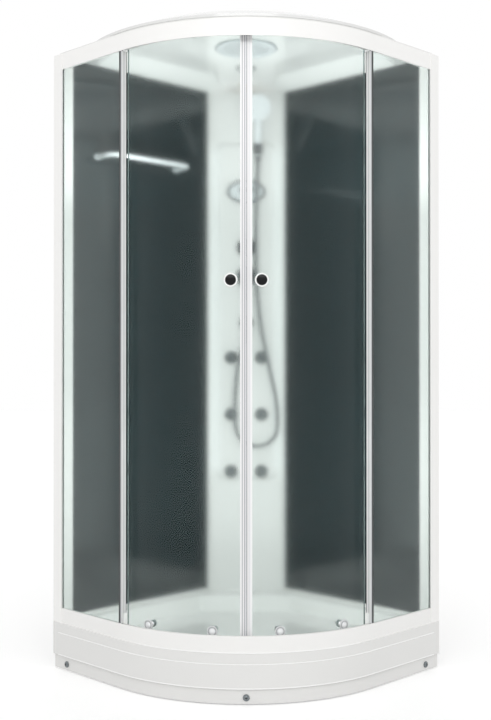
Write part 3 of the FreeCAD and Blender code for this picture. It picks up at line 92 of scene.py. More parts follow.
class Shader:
    """A node material with one Principled shader and short calls to build on it."""

    def __init__(self, name, colour, roughness, metallic=0.0, **sockets):
        self.material = bpy.data.materials.new(name)
        self.material.use_nodes = True
        self.tree = self.material.node_tree
        self.bsdf = self.tree.nodes["Principled BSDF"]
        self.set("Base Color", (*colour, 1.0))
        self.set("Roughness", roughness)
        self.set("Metallic", metallic)
        for socket, value in sockets.items():
            self.set(socket.replace("_", " "), value)
        self.place = self.add("ShaderNodeTexCoord").outputs["Object"]

    def set(self, socket, value):
        self.bsdf.inputs[socket].default_value = value

    def add(self, kind, **values):
        """A node, with its properties or its input sockets set by name."""
        node = self.tree.nodes.new(kind)
        for name, value in values.items():
            if hasattr(node, name):
                setattr(node, name, value)
            else:
                node.inputs[name.replace("_", " ")].default_value = value
        return node

    def link(self, output, target):
        self.tree.links.new(output, target)

    def noise(self, scale, detail=3.0, stretch=(1, 1, 1)):
        mapping = self.add("ShaderNodeMapping")
        mapping.inputs["Scale"].default_value = stretch
        self.link(self.place, mapping.inputs["Vector"])
        texture = self.add("ShaderNodeTexNoise", Scale=scale, Detail=detail)
        self.link(mapping.outputs["Vector"], texture.inputs["Vector"])
        return texture.outputs["Fac"]

    def axes(self, source=None):
        """The X, Y and Z of a vector, which is the place on the object unless given."""
        split = self.add("ShaderNodeSeparateXYZ")
        self.link(self.place if source is None else source, split.inputs["Vector"])
        return [split.outputs[axis] for axis in "XYZ"]

    def maths(self, operation, *values):
        node = self.add("ShaderNodeMath", operation=operation)
        for socket, value in zip(node.inputs, values):
            if isinstance(value, float):
                socket.default_value = value
            else:
                self.link(value, socket)
        return node.outputs["Value"]

    def share(self, source, start, end):
        """0 before start, 1 after end and even between them."""
        change = self.add("ShaderNodeMapRange")
        self.link(source, change.inputs["Value"])
        change.inputs["From Min"].default_value = start
        change.inputs["From Max"].default_value = end
        return change.outputs["Result"]

    def ramp(self, source, stops, target):
        """Colour or value stops over a source, into a socket of the shader."""
        ramp = self.add("ShaderNodeValToRGB")
        elements = ramp.color_ramp.elements
        while len(elements) < len(stops):
            elements.new(0.5)
        for element, (position, value) in zip(elements, stops):
            element.position = position
            colour = value if hasattr(value, "__len__") else (value,) * 3
            element.color = (*colour, 1.0)
        self.link(source, ramp.inputs["Fac"])
        self.link(ramp.outputs["Color"], self.bsdf.inputs[target])

    def bump(self, height, strength, distance):
        bump = self.add("ShaderNodeBump", Strength=strength, Distance=distance)
        self.link(height, bump.inputs["Height"])
        self.link(bump.outputs["Normal"], self.bsdf.inputs["Normal"])

    def vary(self, colour, share, scale, detail=3.0, stretch=(1, 1, 1)):
        """A gentle change of the base colour over the surface."""
        low = [c * (1 - share) for c in colour]
        high = [min(1.0, c * (1 + share)) for c in colour]
        self.ramp(self.noise(scale, detail, stretch), [(0.3, low), (0.7, high)], "Base Color")

    def worn(self, source, smooth, rough):
        """A gloss that changes between two roughnesses."""
        self.ramp(source, [(0.3, smooth), (0.7, rough)], "Roughness")

    def orange_peel(self, strength=0.05):
        """The faint waves in a moulded glossy face."""
        self.bump(self.noise(70.0, 2.0), strength, 0.0006)


GLAZE = {"Coat_Weight": 0.25, "Coat_Roughness": 0.04}
MOULDED_ROUGHNESS = 0.16


def acrylic(name, colour, roughness=MOULDED_ROUGHNESS, peel=0.05):
    made = Shader(name, colour, roughness, **GLAZE)
    made.vary(colour, 0.012, 2.5)
    made.worn(made.noise(6.0), roughness * 0.8, roughness * 1.25)
    made.orange_peel(peel)
    return made.material


def column_acrylic(name, colour, bright):
    """The column's moulding, with a painted highlight: a lighter colour on the slopes of its
    raised middle.
    """
    made = Shader(name, colour, MOULDED_ROUGHNESS, **GLAZE)
    x, _, z = made.axes()
    across = made.maths("ABSOLUTE", x)
    slope = made.maths("MULTIPLY", made.share(across, *COLUMN_SLOPE_INNER),
                       made.share(across, *COLUMN_SLOPE_OUTER))
    level = made.maths("MULTIPLY", made.share(z, *COLUMN_SLOPE_BOTTOM),
                       made.share(z, *COLUMN_SLOPE_TOP))
    # Painted highlight: the slopes between the given heights get the lighter colour.
    both = made.maths("MULTIPLY", slope, level)
    made.ramp(both, [(0.0, colour), (1.0, bright)], "Base Color")
    made.orange_peel()
    return made.material


def roof_acrylic(name, colour, below):
    """The roof's moulding, with painted light: a lighter colour on the faces that look down."""
    made = Shader(name, colour, MOULDED_ROUGHNESS, **GLAZE)
    normal = made.add("ShaderNodeNewGeometry").outputs["Normal"]
    # Painted light: the more a face looks down, the lighter its colour.
    down = made.share(made.axes(normal)[2], -0.1, -0.5)
    made.ramp(down, [(0.0, colour), (1.0, below)], "Base Color")
    made.orange_peel()
    return made.material


def powder_coat(name, colour):
    made = Shader(name, colour, 0.3, Coat_Weight=0.1, Coat_Roughness=0.2)
    made.vary(colour, 0.01, 3.0)
    made.bump(made.noise(1400.0, 2.0), 0.08, 0.0002)
    return made.material


def plated(name, colour, roughness, brushed=False):
    made = Shader(name, colour, roughness, 1.0)
    stretch = (1, 1, 0.04) if brushed else (1, 1, 1)
    made.vary(colour, 0.03, 30.0, 2.0, stretch)
    fine = made.noise(900.0 if brushed else 220.0, 2.0, stretch)
    made.worn(fine, roughness * 0.7, roughness * 1.4)
    return made.material


def clear_glass(name, colour, roughness, ior):
    made = Shader(name, colour, roughness, Transmission_Weight=1.0, IOR=ior)
    made.vary(colour, 0.006, 1.2)
    return made.material


def curved_glass(name, colour, edge_shade_colour, roughness, ior):
    """The doors' glass: clear, with a dark band of painted shade where it ends."""
    made = Shader(name, colour, roughness, Transmission_Weight=1.0, IOR=ior)
    x, y, _ = made.axes()
    ahead = made.maths("SUBTRACT", ARC_CENTRE_Y, y)
    angle = made.maths("ARCTAN2", made.maths("ABSOLUTE", x), ahead)
    # Painted shade: the glass turns to the dark colour over its last angle before its end.
    edge = made.share(angle, *map(math.radians, DOOR_GLASS_EDGE))
    made.ramp(edge, [(0.0, colour), (1.0, edge_shade_colour)], "Base Color")
    return made.material


def back_glass(name, colour):
    """Opaque painted glass: a dark ground under a polished face."""
    made = Shader(name, colour, 0.05, IOR=1.7)
    made.vary(colour, 0.05, 1.6, 2.0)
    made.worn(made.noise(4.0), 0.035, 0.06)
    return made.material


def tinted_plastic(name, colour, roughness):
    """Moulded plastic with a fine even texture under a thin gloss."""
    made = Shader(name, colour, roughness, Coat_Weight=0.3, Coat_Roughness=0.08)
    made.vary(colour, 0.03, 40.0)
    made.bump(made.noise(500.0, 2.0), 0.05, 0.0002)
    return made.material


def black_gloss(name, colour):
    made = Shader(name, colour, 0.1, IOR=1.3)
    made.vary(colour, 0.2, 60.0)
    made.worn(made.noise(90.0), 0.08, 0.14)
    return made.material


def striped(name, start, end, stops, roughness, mirrored=False):
    """Bands that run up a strip: colours by the share of the way from start to end in X.

    A mirrored strip is on both sides of the middle.
    """
    made = Shader(name, (0.8, 0.8, 0.82), roughness, Coat_Weight=0.1, Coat_Roughness=0.3)
    across = made.axes()[0]
    if mirrored:
        across = made.maths("ABSOLUTE", across)
    made.ramp(made.share(across, start, end), stops, "Base Color")
    made.bump(made.noise(40.0, 2.0, (1, 1, 0.05)), 0.05, 0.0003)
    return made.material


# The bands across the closing strips and across the profiles on the fixed panes' edges, as
# stops of (share of the width, colour). On the closing strips the bands are the stripes of the
# clear profile and its magnets, with painted highlight in the white lines and painted shade in
# the dark lines. On the edge profiles the black, grey and white bands are a painted reflection.
CLOSING_BANDS = [
    (0.0, (0.93, 0.93, 0.94)), (0.09, (0.95, 0.95, 0.95)), (0.11, (0.72, 0.72, 0.74)),
    (0.17, (0.7, 0.7, 0.72)), (0.18, (0.54, 0.54, 0.56)), (0.255, (0.54, 0.54, 0.56)),
    (0.265, (0.95, 0.95, 0.96)), (0.34, (0.95, 0.95, 0.96)), (0.35, (0.31, 0.31, 0.35)),
    (0.425, (0.33, 0.33, 0.37)), (0.435, (0.92, 0.93, 0.95)), (0.505, (0.92, 0.93, 0.95)),
    (0.515, (0.32, 0.32, 0.35)), (0.59, (0.34, 0.34, 0.37)), (0.6, (0.96, 0.96, 0.96)),
    (0.675, (0.96, 0.96, 0.96)), (0.69, (0.7, 0.7, 0.72)), (0.75, (0.72, 0.72, 0.74)),
    (0.77, (0.86, 0.86, 0.88)), (0.85, (0.86, 0.86, 0.88)), (0.88, (0.96, 0.96, 0.96)),
    (1.0, (0.93, 0.93, 0.94))]
EDGE_REFLECTION_BANDS = [
    (0.0, (0.03, 0.035, 0.035)), (0.07, (0.03, 0.035, 0.035)), (0.1, (0.94, 0.94, 0.94)),
    (0.26, (0.94, 0.94, 0.94)), (0.3, (0.7, 0.71, 0.71)), (0.52, (0.8, 0.81, 0.81)),
    (0.56, (0.94, 0.94, 0.94)), (0.68, (0.94, 0.94, 0.94)), (0.72, (0.58, 0.59, 0.61)),
    (0.86, (0.7, 0.71, 0.73)), (0.88, (0.03, 0.035, 0.035)), (1.0, (0.05, 0.055, 0.055))]

LOOKS = {
    "white_acrylic": acrylic("white_acrylic_look", (0.9, 0.9, 0.885)),
    "skirt": acrylic("skirt_look", (0.825, 0.822, 0.808)),
    # A paler copy of the white acrylic, for painted highlights on the skirt's lips and the
    # knobs' rims.
    "highlight_edge": acrylic("highlight_edge_look", (0.98, 0.98, 0.975), 0.12),
    "lamp_glass": acrylic("lamp_glass_look", (0.92, 0.93, 0.93), 0.3, 0.2),
    # The roof's lighter colour on its down-looking faces is painted light.
    "roof": roof_acrylic("roof_look", (0.8, 0.8, 0.79), (0.95, 0.955, 0.945)),
    # The column's lighter colour on its slopes is a painted highlight.
    "column": column_acrylic("column_look", (0.83, 0.83, 0.82), (0.97, 0.98, 0.975)),
    "frame_paint": powder_coat("frame_paint_look", (0.965, 0.96, 0.945)),
    # The bottom rail's paint is the frame's paint made darker, as painted shade.
    "shaded_rail_paint": powder_coat("shaded_rail_paint_look", (0.93, 0.925, 0.91)),
    "clear_glass": clear_glass("clear_glass_look", (0.87, 0.93, 0.915), 0.16, 1.25),
    # The doors' glass darkens at its end as painted shade.
    "door_glass": curved_glass("door_glass_look", (0.89, 0.945, 0.93), (0.12, 0.17, 0.165),
                               0.17, 1.22),
    "shelf_glass": clear_glass("shelf_glass_look", (0.86, 0.95, 0.93), 0.02, 1.46),
    "dark_glass": back_glass("dark_glass_look", (0.013, 0.025, 0.028)),
    "chrome": plated("chrome_look", (0.72, 0.73, 0.74), 0.08),
    # A chrome darkened to stand for the dark surroundings it reflects: a painted reflection.
    "fitting_chrome": plated("fitting_chrome_look", (0.2, 0.22, 0.23), 0.14),
    "dark_chrome": plated("dark_chrome_look", (0.11, 0.12, 0.13), 0.16),
    "pale_satin": plated("pale_satin_look", (0.93, 0.94, 0.95), 0.4),
    "hose_steel": plated("hose_steel_look", (0.34, 0.35, 0.36), 0.22),
    "galvanised": plated("galvanised_look", (0.6, 0.61, 0.62), 0.38, brushed=True),
    "pipe_brass": plated("pipe_brass_look", (0.72, 0.52, 0.25), 0.3),
    "soft_seal": striped("soft_seal_look", 0.3695, 0.3887, EDGE_REFLECTION_BANDS, 0.6, mirrored=True),
    "magnet_strip": striped("magnet_strip_look", -0.018, 0.018, CLOSING_BANDS, 0.2),
    "wheel_nylon": tinted_plastic("wheel_nylon_look", (0.72, 0.73, 0.74), 0.3),
    "drain_plastic": tinted_plastic("drain_plastic_look", (0.75, 0.76, 0.76), 0.4),
    "white_plastic": tinted_plastic("white_plastic_look", (0.8, 0.83, 0.85), 0.18),
    "shower_face": tinted_plastic("shower_face_look", (0.68, 0.72, 0.74), 0.2),
    "display_face": tinted_plastic("display_face_look", (0.72, 0.76, 0.78), 0.25),
    "grey_rubber": tinted_plastic("grey_rubber_look", (0.3, 0.31, 0.32), 0.5),
    "black_gloss": black_gloss("black_gloss_look", (0.006, 0.006, 0.007)),
}


def looks_by_node():
    """The look of each node: its slot's, or another where one slot holds several finishes."""
    looks = {entry["node"]: entry["material_slot"] for entry in frame["record"]["subparts"]}
    looks.update({
        "tray_skirt": "skirt", "corner_column": "column", "roof_shell": "roof",
        "bottom_rail": "shaded_rail_paint", "rain_shower": "shower_face",
        "shelf_rail": "white_plastic", "shelf_plate": "shelf_glass",
        "diverter_knob": "dark_chrome", "control_bezel": "dark_chrome"})
    for name in ("skirt_screws", "hose_outlet", "jet_rings", "valve_body", "mixer_cap",
                 "mixer_lever"):
        looks[name] = "fitting_chrome"
    for number in range(1, 7):
        looks["jet_nozzle_%d" % number] = "fitting_chrome"
    for word, _ in SIDES:
        looks["magnet_seal_" + word] = "magnet_strip"
        looks["door_glass_" + word] = "door_glass"
        looks["door_hangers_" + word] = "pale_satin"
    return looks


def paint(obj, look):
    if not obj.material_slots:
        obj.data.materials.append(LOOKS[look])
    for entry in obj.material_slots:
        entry.link = "OBJECT"
        entry.material = LOOKS[look]


for node_name, node_look in looks_by_node().items():
    paint(frame["nodes"][node_name], node_look)


# ---- making pieces -------------------------------------------------------------

def piece(obj, body, slot_name, look=None):
    paint(obj, look or slot_name)
    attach(obj, body)
    return obj


def mesh_object(name, verts, faces, edge_angle=35):
    mesh = bpy.data.meshes.new(name)
    mesh.from_pydata([tuple(v) for v in verts], [], faces)
    mesh.validate()
    mesh.shade_smooth()
    mesh.set_sharp_from_angle(angle=math.radians(edge_angle))
    obj = bpy.data.objects.new(name, mesh)
    bpy.context.scene.collection.objects.link(obj)
    return obj


def round_points(steps):
    """The cosine and sine at even steps round a circle."""
    angles = [2 * math.pi * step / steps for step in range(steps)]
    return [(math.cos(angle), math.sin(angle)) for angle in angles]


def turned(profile, places, steps=40):
    """Rings of a closed profile, (radius, height) in mm, turned at each (point, axis)."""
    verts, faces = [], []
    for point, axis in places:
        turn = Vector(axis).to_track_quat("Z", "Y").to_matrix()
        rings = []
        for radius, height in profile:
            spots = round_points(steps) if radius > 0 else [(1, 0)]
            rings.append(range(len(verts), len(verts) + len(spots)))
            for across, up in spots:
                local = Vector((radius * across, radius * up, height))
                verts.append(Vector(point) + turn @ (local / 1000))
        for low, high in zip(rings, rings[1:]):
            for step in range(steps):
                after = (step + 1) % steps
                loop = [low[step % len(low)], low[after % len(low)],
                        high[after % len(high)], high[step % len(high)]]
                faces.append(tuple(dict.fromkeys(loop)))
    return verts, faces


def turned_piece(name, body, slot_name, profile, places, look=None, steps=40):
    return piece(mesh_object(name, *turned(profile, places, steps)), body, slot_name, look)


def stacked(solids):
    """The vertices and faces of solids, each given as rings of points from end to end."""
    verts, faces = [], []
    for rings in solids:
        base, count = len(verts), len(rings[0])
        for ring in rings:
            verts.extend(ring)
        for low in range(base, len(verts) - count, count):
            high = low + count
            for step in range(count):
                after = (step + 1) % count
                faces.append((low + step, low + after, high + after, high + step))
        faces.append(tuple(range(base, base + count))[::-1])
        faces.append(tuple(range(len(verts) - count, len(verts))))
    return verts, faces


def outward(side, angle):
    """The direction out of the doors' circle: side is 1 on the left, angle in degrees."""
    turn = math.radians(angle)
    return Vector((-side * math.sin(turn), -math.cos(turn), 0))


def on_arc(side, radius, angle, height):
    """A point on a circle about the doors' axis, with radius and height in mm."""
    across = outward(side, angle) * radius / 1000
    return Vector((across.x, ARC_CENTRE_Y + across.y, height / 1000))


# ---- the hose ------------------------------------------------------------------

# The upper end is under the holder's base, along the handle. The lower end is in front of
# the column and under the outlet's middle. The two bend heights are not used.
UPPER_END_BELOW = 0.0263
LOWER_END_REACH = 0.026
LOWER_END_BELOW = 0.0243
BEND_HEIGHTS = (1.66, 1.764)
LOOP_RADIUS = 80.7
LOOP_MIDDLE = (39, -378)
RIB_STEP = 0.001
RIB_RADII = (6.1, 6.75, 7.0, 6.75)
NUT_PROFILE = [(0, -2), (9, -2), (9.8, -1), (9.8, 5), (9.2, 6), (9.2, 9), (9.6, 10), (8, 25),
               (7.2, 26), (0, 26)]


def hose_points():
    """The route's points, the same ones that the solid follows, in metres.

    The lists give X, the distance out of the column and the height over the outlet, in mm.
    """
    along = Vector((0, -math.sin(HANDSET_TILT), math.cos(HANDSET_TILT)))
    top = Vector(HOLDER_BASE) - along * UPPER_END_BELOW
    end = Vector((0, COLUMN_FACE_Y - LOWER_END_REACH, OUTLET_HEIGHT - LOWER_END_BELOW))
    fall = [(41, 27, 543), (38, 29, 460), (36, 32, 376), (35, 34, 286), (36, 36, 192),
            (41, 38, 100), (50, 42, 12), (64, 47, -72), (82, 52, -154), (100, 57, -232),
            (113, 62, -300)]
    rise = [(-42, 58, -332), (-41, 53, -262), (-34, 47, -186), (-22, 40, -116)]
    loop_x, loop_height = LOOP_MIDDLE
    loop = []
    for step in range(6):
        angle = math.radians(-15 - 30 * step)
        loop.append((loop_x + LOOP_RADIUS * math.cos(angle), 65 - step * 0.8,
                     loop_height + LOOP_RADIUS * math.sin(angle)))
    middle = [Vector((x / 1000, COLUMN_FACE_Y - out / 1000, OUTLET_HEIGHT + up / 1000))
              for x, out, up in fall + loop + rise]
    tail = [end - Vector((0.004, 0.004, 0.052)), end - Vector((0, 0, 0.022)), end]
    return [top, top - along * 0.038] + middle + tail


def hose_line():
    """Points close together along the route's smooth curve."""
    curve = bpy.data.curves.new("hose_line", "CURVE")
    curve.dimensions = "3D"
    spline = curve.splines.new("NURBS")
    points = hose_points()
    spline.points.add(len(points) - 1)
    for point, co in zip(spline.points, points):
        point.co = (*co, 1.0)
    spline.order_u = 3
    spline.use_endpoint_u = True
    spline.resolution_u = 60
    guide = bpy.data.objects.new("hose_line", curve)
    sampled = bpy.data.meshes.new_from_object(guide)
    line = [vertex.co.copy() for vertex in sampled.vertices]
    bpy.data.objects.remove(guide)
    return line


def evenly(line, pitch):
    """The line's points and directions at an even pitch."""
    spots, travelled, due = [], 0.0, 0.0
    for here, after in zip(line, line[1:]):
        step = (after - here).length
        while due <= travelled + step and step > 0:
            spots.append((here.lerp(after, (due - travelled) / step),
                          (after - here).normalized()))
            due += pitch
        travelled += step
    return spots


def ribbed_tube(spots):
    """A spiral-wound metal hose: a ridge and a groove each 4 mm along its line."""
    rings, side_way = [], Vector((1, 0, 0))
    for index, (point, along) in enumerate(spots):
        side_way = (side_way - along * side_way.dot(along)).normalized()
        up_way = along.cross(side_way)
        radius = RIB_RADII[index % len(RIB_RADII)] / 1000
        rings.append([point + (side_way * across + up_way * up) * radius
                      for across, up in round_points(14)])
    return mesh_object("hose", *stacked([rings]), edge_angle=80)


def make_hose():
    """The free hose, with a nut at each end, in place of the solid's hose."""
    line = hose_line()
    spots = evenly(line, RIB_STEP)
    hose = ribbed_tube(spots)
    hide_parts("shower_hose")
    paint(hose, "hose_steel")
    bend_start, bend_end = Vector(HOLDER_BASE), Vector(HOLDER_BASE)
    bend_start.z, bend_end.z = BEND_HEIGHTS
    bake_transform(hose)
    upper_end, lower_end = spots[0], (spots[-1][0], -spots[-1][1])
    nuts = [turned_piece("hose_nut_upper", "shower_holder", "hose_steel", NUT_PROFILE,
                         [upper_end], look="dark_chrome"),
            turned_piece("hose_nut_lower", "cabin", "hose_steel", NUT_PROFILE,
                         [lower_end], look="dark_chrome")]


# ---- door fittings -------------------------------------------------------------

def make_knob_faces():
    """On the front of each door knob, a black glossy face that is a painted reflection of dark
    surroundings, and a bright rim that is a painted highlight.
    """
    face = [(0, 21.5), (15.6, 22.8), (16.2, 23.4), (15.2, 24.3), (8, 25.0), (0, 25.2)]
    rim = [(14.5, 19.0), (19.4, 19.0), (20.6, 20.2), (20.9, 21.8), (20.2, 23.2), (18.8, 24.0),
           (17.2, 24.0), (16.0, 23.2), (14.5, 22.4), (14.5, 19.0)]
    for word, side in SIDES:
        place = [(on_arc(side, DOOR_GLASS_RADIUS, KNOB_ANGLE, KNOB_HEIGHT),
                  outward(side, KNOB_ANGLE))]
        turned_piece("knob_face_" + word, "door_" + word, "chrome", face, place,
                     look="black_gloss", steps=56)
        turned_piece("knob_rim_" + word, "door_" + word, "chrome", rim, place,
                     look="highlight_edge", steps=56)


def make_wheel_faces():
    """A dark ring on each roller's face, as painted shade of a groove."""
    for word, side in SIDES:
        for level, height, radius in WHEEL_ROWS:
            outer, inner = radius - 3.4, radius - 5.2
            ring = [(inner, -0.6), (outer, -0.6), (outer, 0.25), (outer - 0.9, 0.5),
                    (inner, 0.25), (inner, -0.6)]
            for end, angle in WHEEL_ANGLES:
                name = "wheel_%s_%s_%s" % (word, level, end)
                place = [(on_arc(side, WHEEL_FACE_RADIUS, angle, height),
                          outward(side, angle))]
                turned_piece(name + "_ring", name, "wheel_nylon", ring, place,
                             look="grey_rubber")


def front_line(inset, height, steps=72):
    """The cabin's front outline at an inset from its widest line, from wall to wall."""
    straight, radius, wall_gap, parts = SIDE - FRONT_RADIUS, FRONT_RADIUS - inset, 0.003, 12
    spots = [(SIDE - inset, wall_gap + (straight - wall_gap) * step / parts)
             for step in range(1, parts)]
    mirrored = [(b, a) for a, b in reversed(spots)]
    for step in range(steps + 1):
        angle = math.pi / 2 * step / steps
        spots.append((straight + radius * math.cos(angle), straight + radius * math.sin(angle)))
    return [Vector(((b - a) / math.sqrt(2), ROOM_CORNER_Y - (a + b) / math.sqrt(2), height))
            for a, b in spots + mirrored]


def bead(name, look, inset, height, radius):
    """A round bead along the front outline."""
    line = front_line(inset, height)
    rings = []
    for index, point in enumerate(line):
        before, after = line[max(index - 1, 0)], line[min(index + 1, len(line) - 1)]
        across = (after - before).normalized().cross(Vector((0, 0, 1)))
        rings.append([point + (across * out + Vector((0, 0, up))) * radius
                      for out, up in round_points(10)])
    made = mesh_object(name, *stacked([rings]), edge_angle=60)
    return piece(made, "cabin", "white_acrylic", look)


def make_beads():
    """The rounded lips of the skirt's steps, paler than the skirt as a painted highlight, and
    the bead that seals the roof to the rail.
    """
    bead("skirt_bead_upper", "highlight_edge", 0.0035, 0.1525, 0.0018)
    bead("skirt_bead_middle", "highlight_edge", 0.0004, 0.1200, 0.0018)
    bead("skirt_bead_lower", "highlight_edge", 0.0004, 0.0490, 0.0018)
    bead("roof_bead", "white_acrylic", 0.0070, 2.0182, 0.0022)


# ---- wet-side fittings ---------------------------------------------------------

def ring_of_spots(middle, axis, across, rings):
    """Places in rings round a middle, each (radius in mm, count), for rows of nozzles."""
    up = Vector(axis).normalized().cross(across)
    spots = []
    for radius, count in rings:
        for step in range(count):
            angle = 2 * math.pi * (step + 0.5 * (count % 4 == 0)) / count
            reach = (across * math.cos(angle) + up * math.sin(angle)) * radius / 1000
            spots.append((middle + reach, axis))
    return spots


def make_rain_nozzles():
    """Soft nozzles on the overhead shower."""
    profile = [(0, -0.5), (1.9, -0.5), (1.6, 1.2), (0.8, 1.9), (0, 1.9)]
    rings = [(10, 6), (22, 12), (34, 18), (46, 26), (58, 32), (70, 38)]
    spots = ring_of_spots(Vector(RAIN_FACE), Vector((0, 0, -1)), Vector((1, 0, 0)), rings)
    turned_piece("rain_nozzles", "cabin", "soft_seal", profile, spots, look="grey_rubber",
                 steps=8)


def make_hand_nozzles():
    """Soft nozzles on the handset's face, which looks down by 12 degrees."""
    face_turn, head_drop, face_depth = math.radians(102), 0.006, 0.012
    along = Vector((0, -math.sin(HANDSET_TILT), math.cos(HANDSET_TILT)))
    below = Vector((0, -math.cos(HANDSET_TILT), -math.sin(HANDSET_TILT)))
    middle = Vector(HOLDER_BASE) + along * HANDSET_REACH + below * head_drop
    axis = Vector((0, -math.sin(face_turn), math.cos(face_turn)))
    profile = [(0, -0.5), (1.5, -0.5), (1.3, 0.9), (0.7, 1.4), (0, 1.4)]
    rings = [(8, 6), (16, 12), (24, 18), (32, 24)]
    spots = ring_of_spots(middle + axis * face_depth, axis, Vector((1, 0, 0)), rings)
    turned_piece("hand_nozzles", "shower_holder", "white_plastic", profile, spots,
                 look="grey_rubber", steps=8)


def rounded_bar(half_x, half_z, radius, corner=6):
    """An outline with round corners, in mm."""
    points = []
    for turn, (sx, sz) in enumerate(((1, 1), (-1, 1), (-1, -1), (1, -1))):
        for step in range(corner + 1):
            angle = math.radians(90 * turn + 90 * step / corner)
            points.append((sx * (half_x - radius) + radius * math.cos(angle),
                           sz * (half_z - radius) + radius * math.sin(angle)))
    return points


def raised_pad(outline, x, z, rise, inset):
    """The rings of a low pad that stands forward of the control panel, in metres."""
    widest = max(px for px, pz in outline)
    levels = ((0.6, 1.0), (-rise + inset, 1.0), (-rise, (widest - inset) / widest))
    return [[Vector((x + px * grow, CONTROL_FACE_Y + depth, z + pz * grow)) / 1000
             for px, pz in outline] for depth, grow in levels]


def make_control_face():
    """A dark window, a button at each side of it and a row of five under it, all plain."""
    window = raised_pad(rounded_bar(24, 9, 5), 0, CONTROL_WINDOW_Z, 0.8, 0.4)
    piece(mesh_object("control_window", *stacked([window])), "cabin", "display_face",
          "black_gloss")
    small, large = rounded_bar(5.5, 4, 3.9), rounded_bar(5, 5, 4.9)
    buttons = [raised_pad(small, x, CONTROL_BUTTONS_Z, 1.6, 0.6) for x in (-32, -16, 0, 16, 32)]
    buttons += [raised_pad(large, x, CONTROL_WINDOW_Z, 1.6, 0.6) for x in (-42, 42)]
    piece(mesh_object("control_buttons", *stacked(buttons)), "cabin", "display_face",
          "white_plastic")


def screw_places():
    """The point and the direction of each domed screw in the plinth."""
    front = ARC_CENTRE_Y - FRONT_RADIUS + SCREW_INSET
    places = [(Vector((0, front, SCREW_HEIGHT)), Vector((0, -1, 0)))]
    along = SIDE - SCREW_INSET
    for side in (1, -1):
        point = Vector((-side * (along - SCREW_WALL_DISTANCE) / math.sqrt(2),
                        ROOM_CORNER_Y - (along + SCREW_WALL_DISTANCE) / math.sqrt(2),
                        SCREW_HEIGHT))
        places.append((point, Vector((-side, -1, 0)).normalized()))
    return places


def make_screw_slots():
    """The cross recess in each domed screw of the skirt, as a black cross: painted shade of the
    recess.
    """
    arm, half, inner_end, outer_end = 4.2, 0.8, 4.0, 7.1
    cross = [(arm, -half), (arm, half), (half, half), (half, arm), (-half, arm),
             (-half, half), (-arm, half), (-arm, -half), (-half, -half), (-half, -arm),
             (half, -arm), (half, -half)]
    slots = []
    for point, axis in screw_places():
        across = Vector((0, 0, 1)).cross(axis)
        slots.append([[point + (across * px + Vector((0, 0, pz)) + axis * depth) / 1000
                       for px, pz in cross] for depth in (inner_end, outer_end)])
    piece(mesh_object("screw_slots", *stacked(slots)), "cabin", "chrome", "black_gloss")


make_hose()
make_knob_faces()
make_wheel_faces()
make_beads()
make_rain_nozzles()
make_hand_nozzles()
make_control_face()
make_screw_slots()


# ---- stage, light and camera ---------------------------------------------------

WORLD_LIGHT = 0.8
FLOOR_LIFT = 0.33

# The camera as it was fitted to the photograph: a focal length in its pixels, a distance
# from the room's corner, a height, and a pitch and yaw in degrees.
PHOTO_HEIGHT_PIXELS = 720
FOCAL_LENGTH_PIXELS = 1098
SENSOR_MM = 36
CAMERA_DISTANCE = 4.256
CAMERA_HEIGHT = 0.9954
CAMERA_PITCH = 0.271
CAMERA_YAW = 0.037

# Each lamp's name, place, aim, size and power in watts. The panes stop a lamp's light, so
# small lamps inside the cabin light its inner faces.
FRONT_LAMP = ("front_soft", (0.0, -5.2, 3.4), (0, 0, 1.4), (3.6, 2.4), 75)
INSIDE_LAMPS = (
    ("inside_front", (0, -0.36, 1.12), (0, 0.4, 1.12), (0.6, 1.4), 2.3),
    ("inside_up_left", (-0.27, -0.16, 1.5), (-0.28, -0.22, 2.04), (0.3, 0.3), 1.3),
    ("inside_up_right", (0.27, -0.16, 1.5), (0.28, -0.22, 2.04), (0.3, 0.3), 1.3),
    ("inside_down", (0, -0.30, 0.85), (0, -0.05, 0.11), (0.6, 0.3), 1.3),
    ("inside_left", (-0.15, -0.22, 1.08), (-0.6, 0.0, 1.08), (0.25, 1.7), 1.6),
    ("inside_right", (0.15, -0.22, 1.08), (0.6, 0.0, 1.08), (0.25, 1.7), 1.6))


def seen_directly(tree):
    """1 for what the camera, a reflection or a clear pane shows, 0 for light on a surface."""
    path = tree.nodes.new("ShaderNodeLightPath")
    flag = path.outputs["Is Camera Ray"]
    for name in ("Is Glossy Ray", "Is Transmission Ray"):
        larger = tree.nodes.new("ShaderNodeMath")
        larger.operation = "MAXIMUM"
        tree.links.new(flag, larger.inputs[0])
        tree.links.new(path.outputs[name], larger.inputs[1])
        flag = larger.outputs["Value"]
    return flag


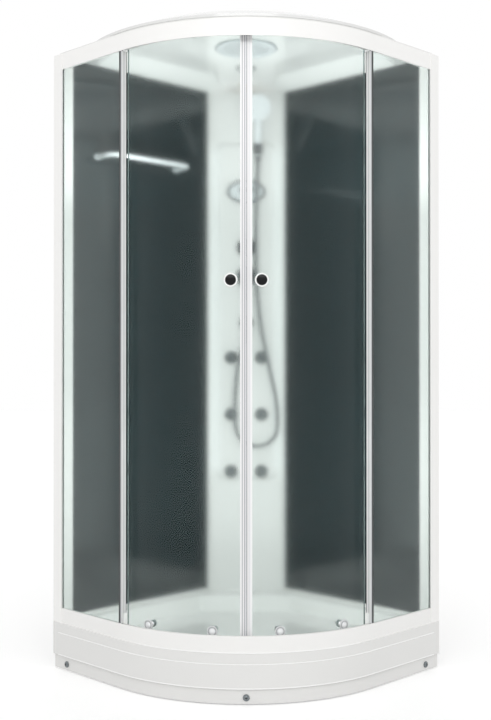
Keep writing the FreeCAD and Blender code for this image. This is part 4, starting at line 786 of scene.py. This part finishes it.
def scaled(tree, flag, low, high, target):
    """Low where the flag is 0 and high where it is 1, into a socket."""
    change = tree.nodes.new("ShaderNodeMapRange")
    tree.links.new(flag, change.inputs["Value"])
    change.inputs["To Min"].default_value = low
    change.inputs["To Max"].default_value = high
    tree.links.new(change.outputs["Result"], target)


def make_floor():
    """A plain pale floor. The part that is seen is lifted to white, its shadows stay."""
    bpy.ops.mesh.primitive_plane_add(size=40)
    floor = bpy.context.object
    floor.name = "floor"
    look = Shader("floor_look", (0.8, 0.8, 0.797), 0.6)
    look.set("Emission Color", (1, 1, 1, 1))
    scaled(look.tree, seen_directly(look.tree), 0.0, FLOOR_LIFT,
           look.bsdf.inputs["Emission Strength"])
    floor.data.materials.append(look.material)


def make_world():
    """A white world that lights the object more softly than it shows itself."""
    world = bpy.data.worlds.new("soft_white")
    bpy.context.scene.world = world
    world.use_nodes = True
    tree = world.node_tree
    back = tree.nodes["Background"]
    back.inputs["Color"].default_value = (1.0, 1.0, 1.0, 1.0)
    scaled(tree, seen_directly(tree), WORLD_LIGHT, 1.0, back.inputs["Strength"])


def area(name, place, aim, size, power, reflected):
    """A soft lamp that neither the camera nor a pane shows."""
    data = bpy.data.lights.new(name, "AREA")
    data.shape = "RECTANGLE"
    data.size, data.size_y = size
    data.energy = power
    lamp = bpy.data.objects.new(name, data)
    lamp.location = place
    lamp.rotation_euler = (Vector(aim) - Vector(place)).to_track_quat("-Z", "Y").to_euler()
    lamp.visible_camera = False
    lamp.visible_transmission = False
    lamp.visible_glossy = reflected
    bpy.context.scene.collection.objects.link(lamp)


def make_camera():
    data = bpy.data.cameras.new("camera")
    data.lens = FOCAL_LENGTH_PIXELS / PHOTO_HEIGHT_PIXELS * SENSOR_MM
    data.clip_end = 60
    camera = bpy.data.objects.new("camera", data)
    camera.location = (0, ROOM_CORNER_Y - CAMERA_DISTANCE, CAMERA_HEIGHT)
    camera.rotation_euler = (math.radians(90 + CAMERA_PITCH), 0, math.radians(CAMERA_YAW))
    bpy.context.scene.collection.objects.link(camera)
    bpy.context.scene.camera = camera


make_floor()
make_world()
area(*FRONT_LAMP, reflected=True)
for lamp_row in INSIDE_LAMPS:
    area(*lamp_row, reflected=False)
make_camera()
bpy.context.scene.view_settings.view_transform = "Standard"
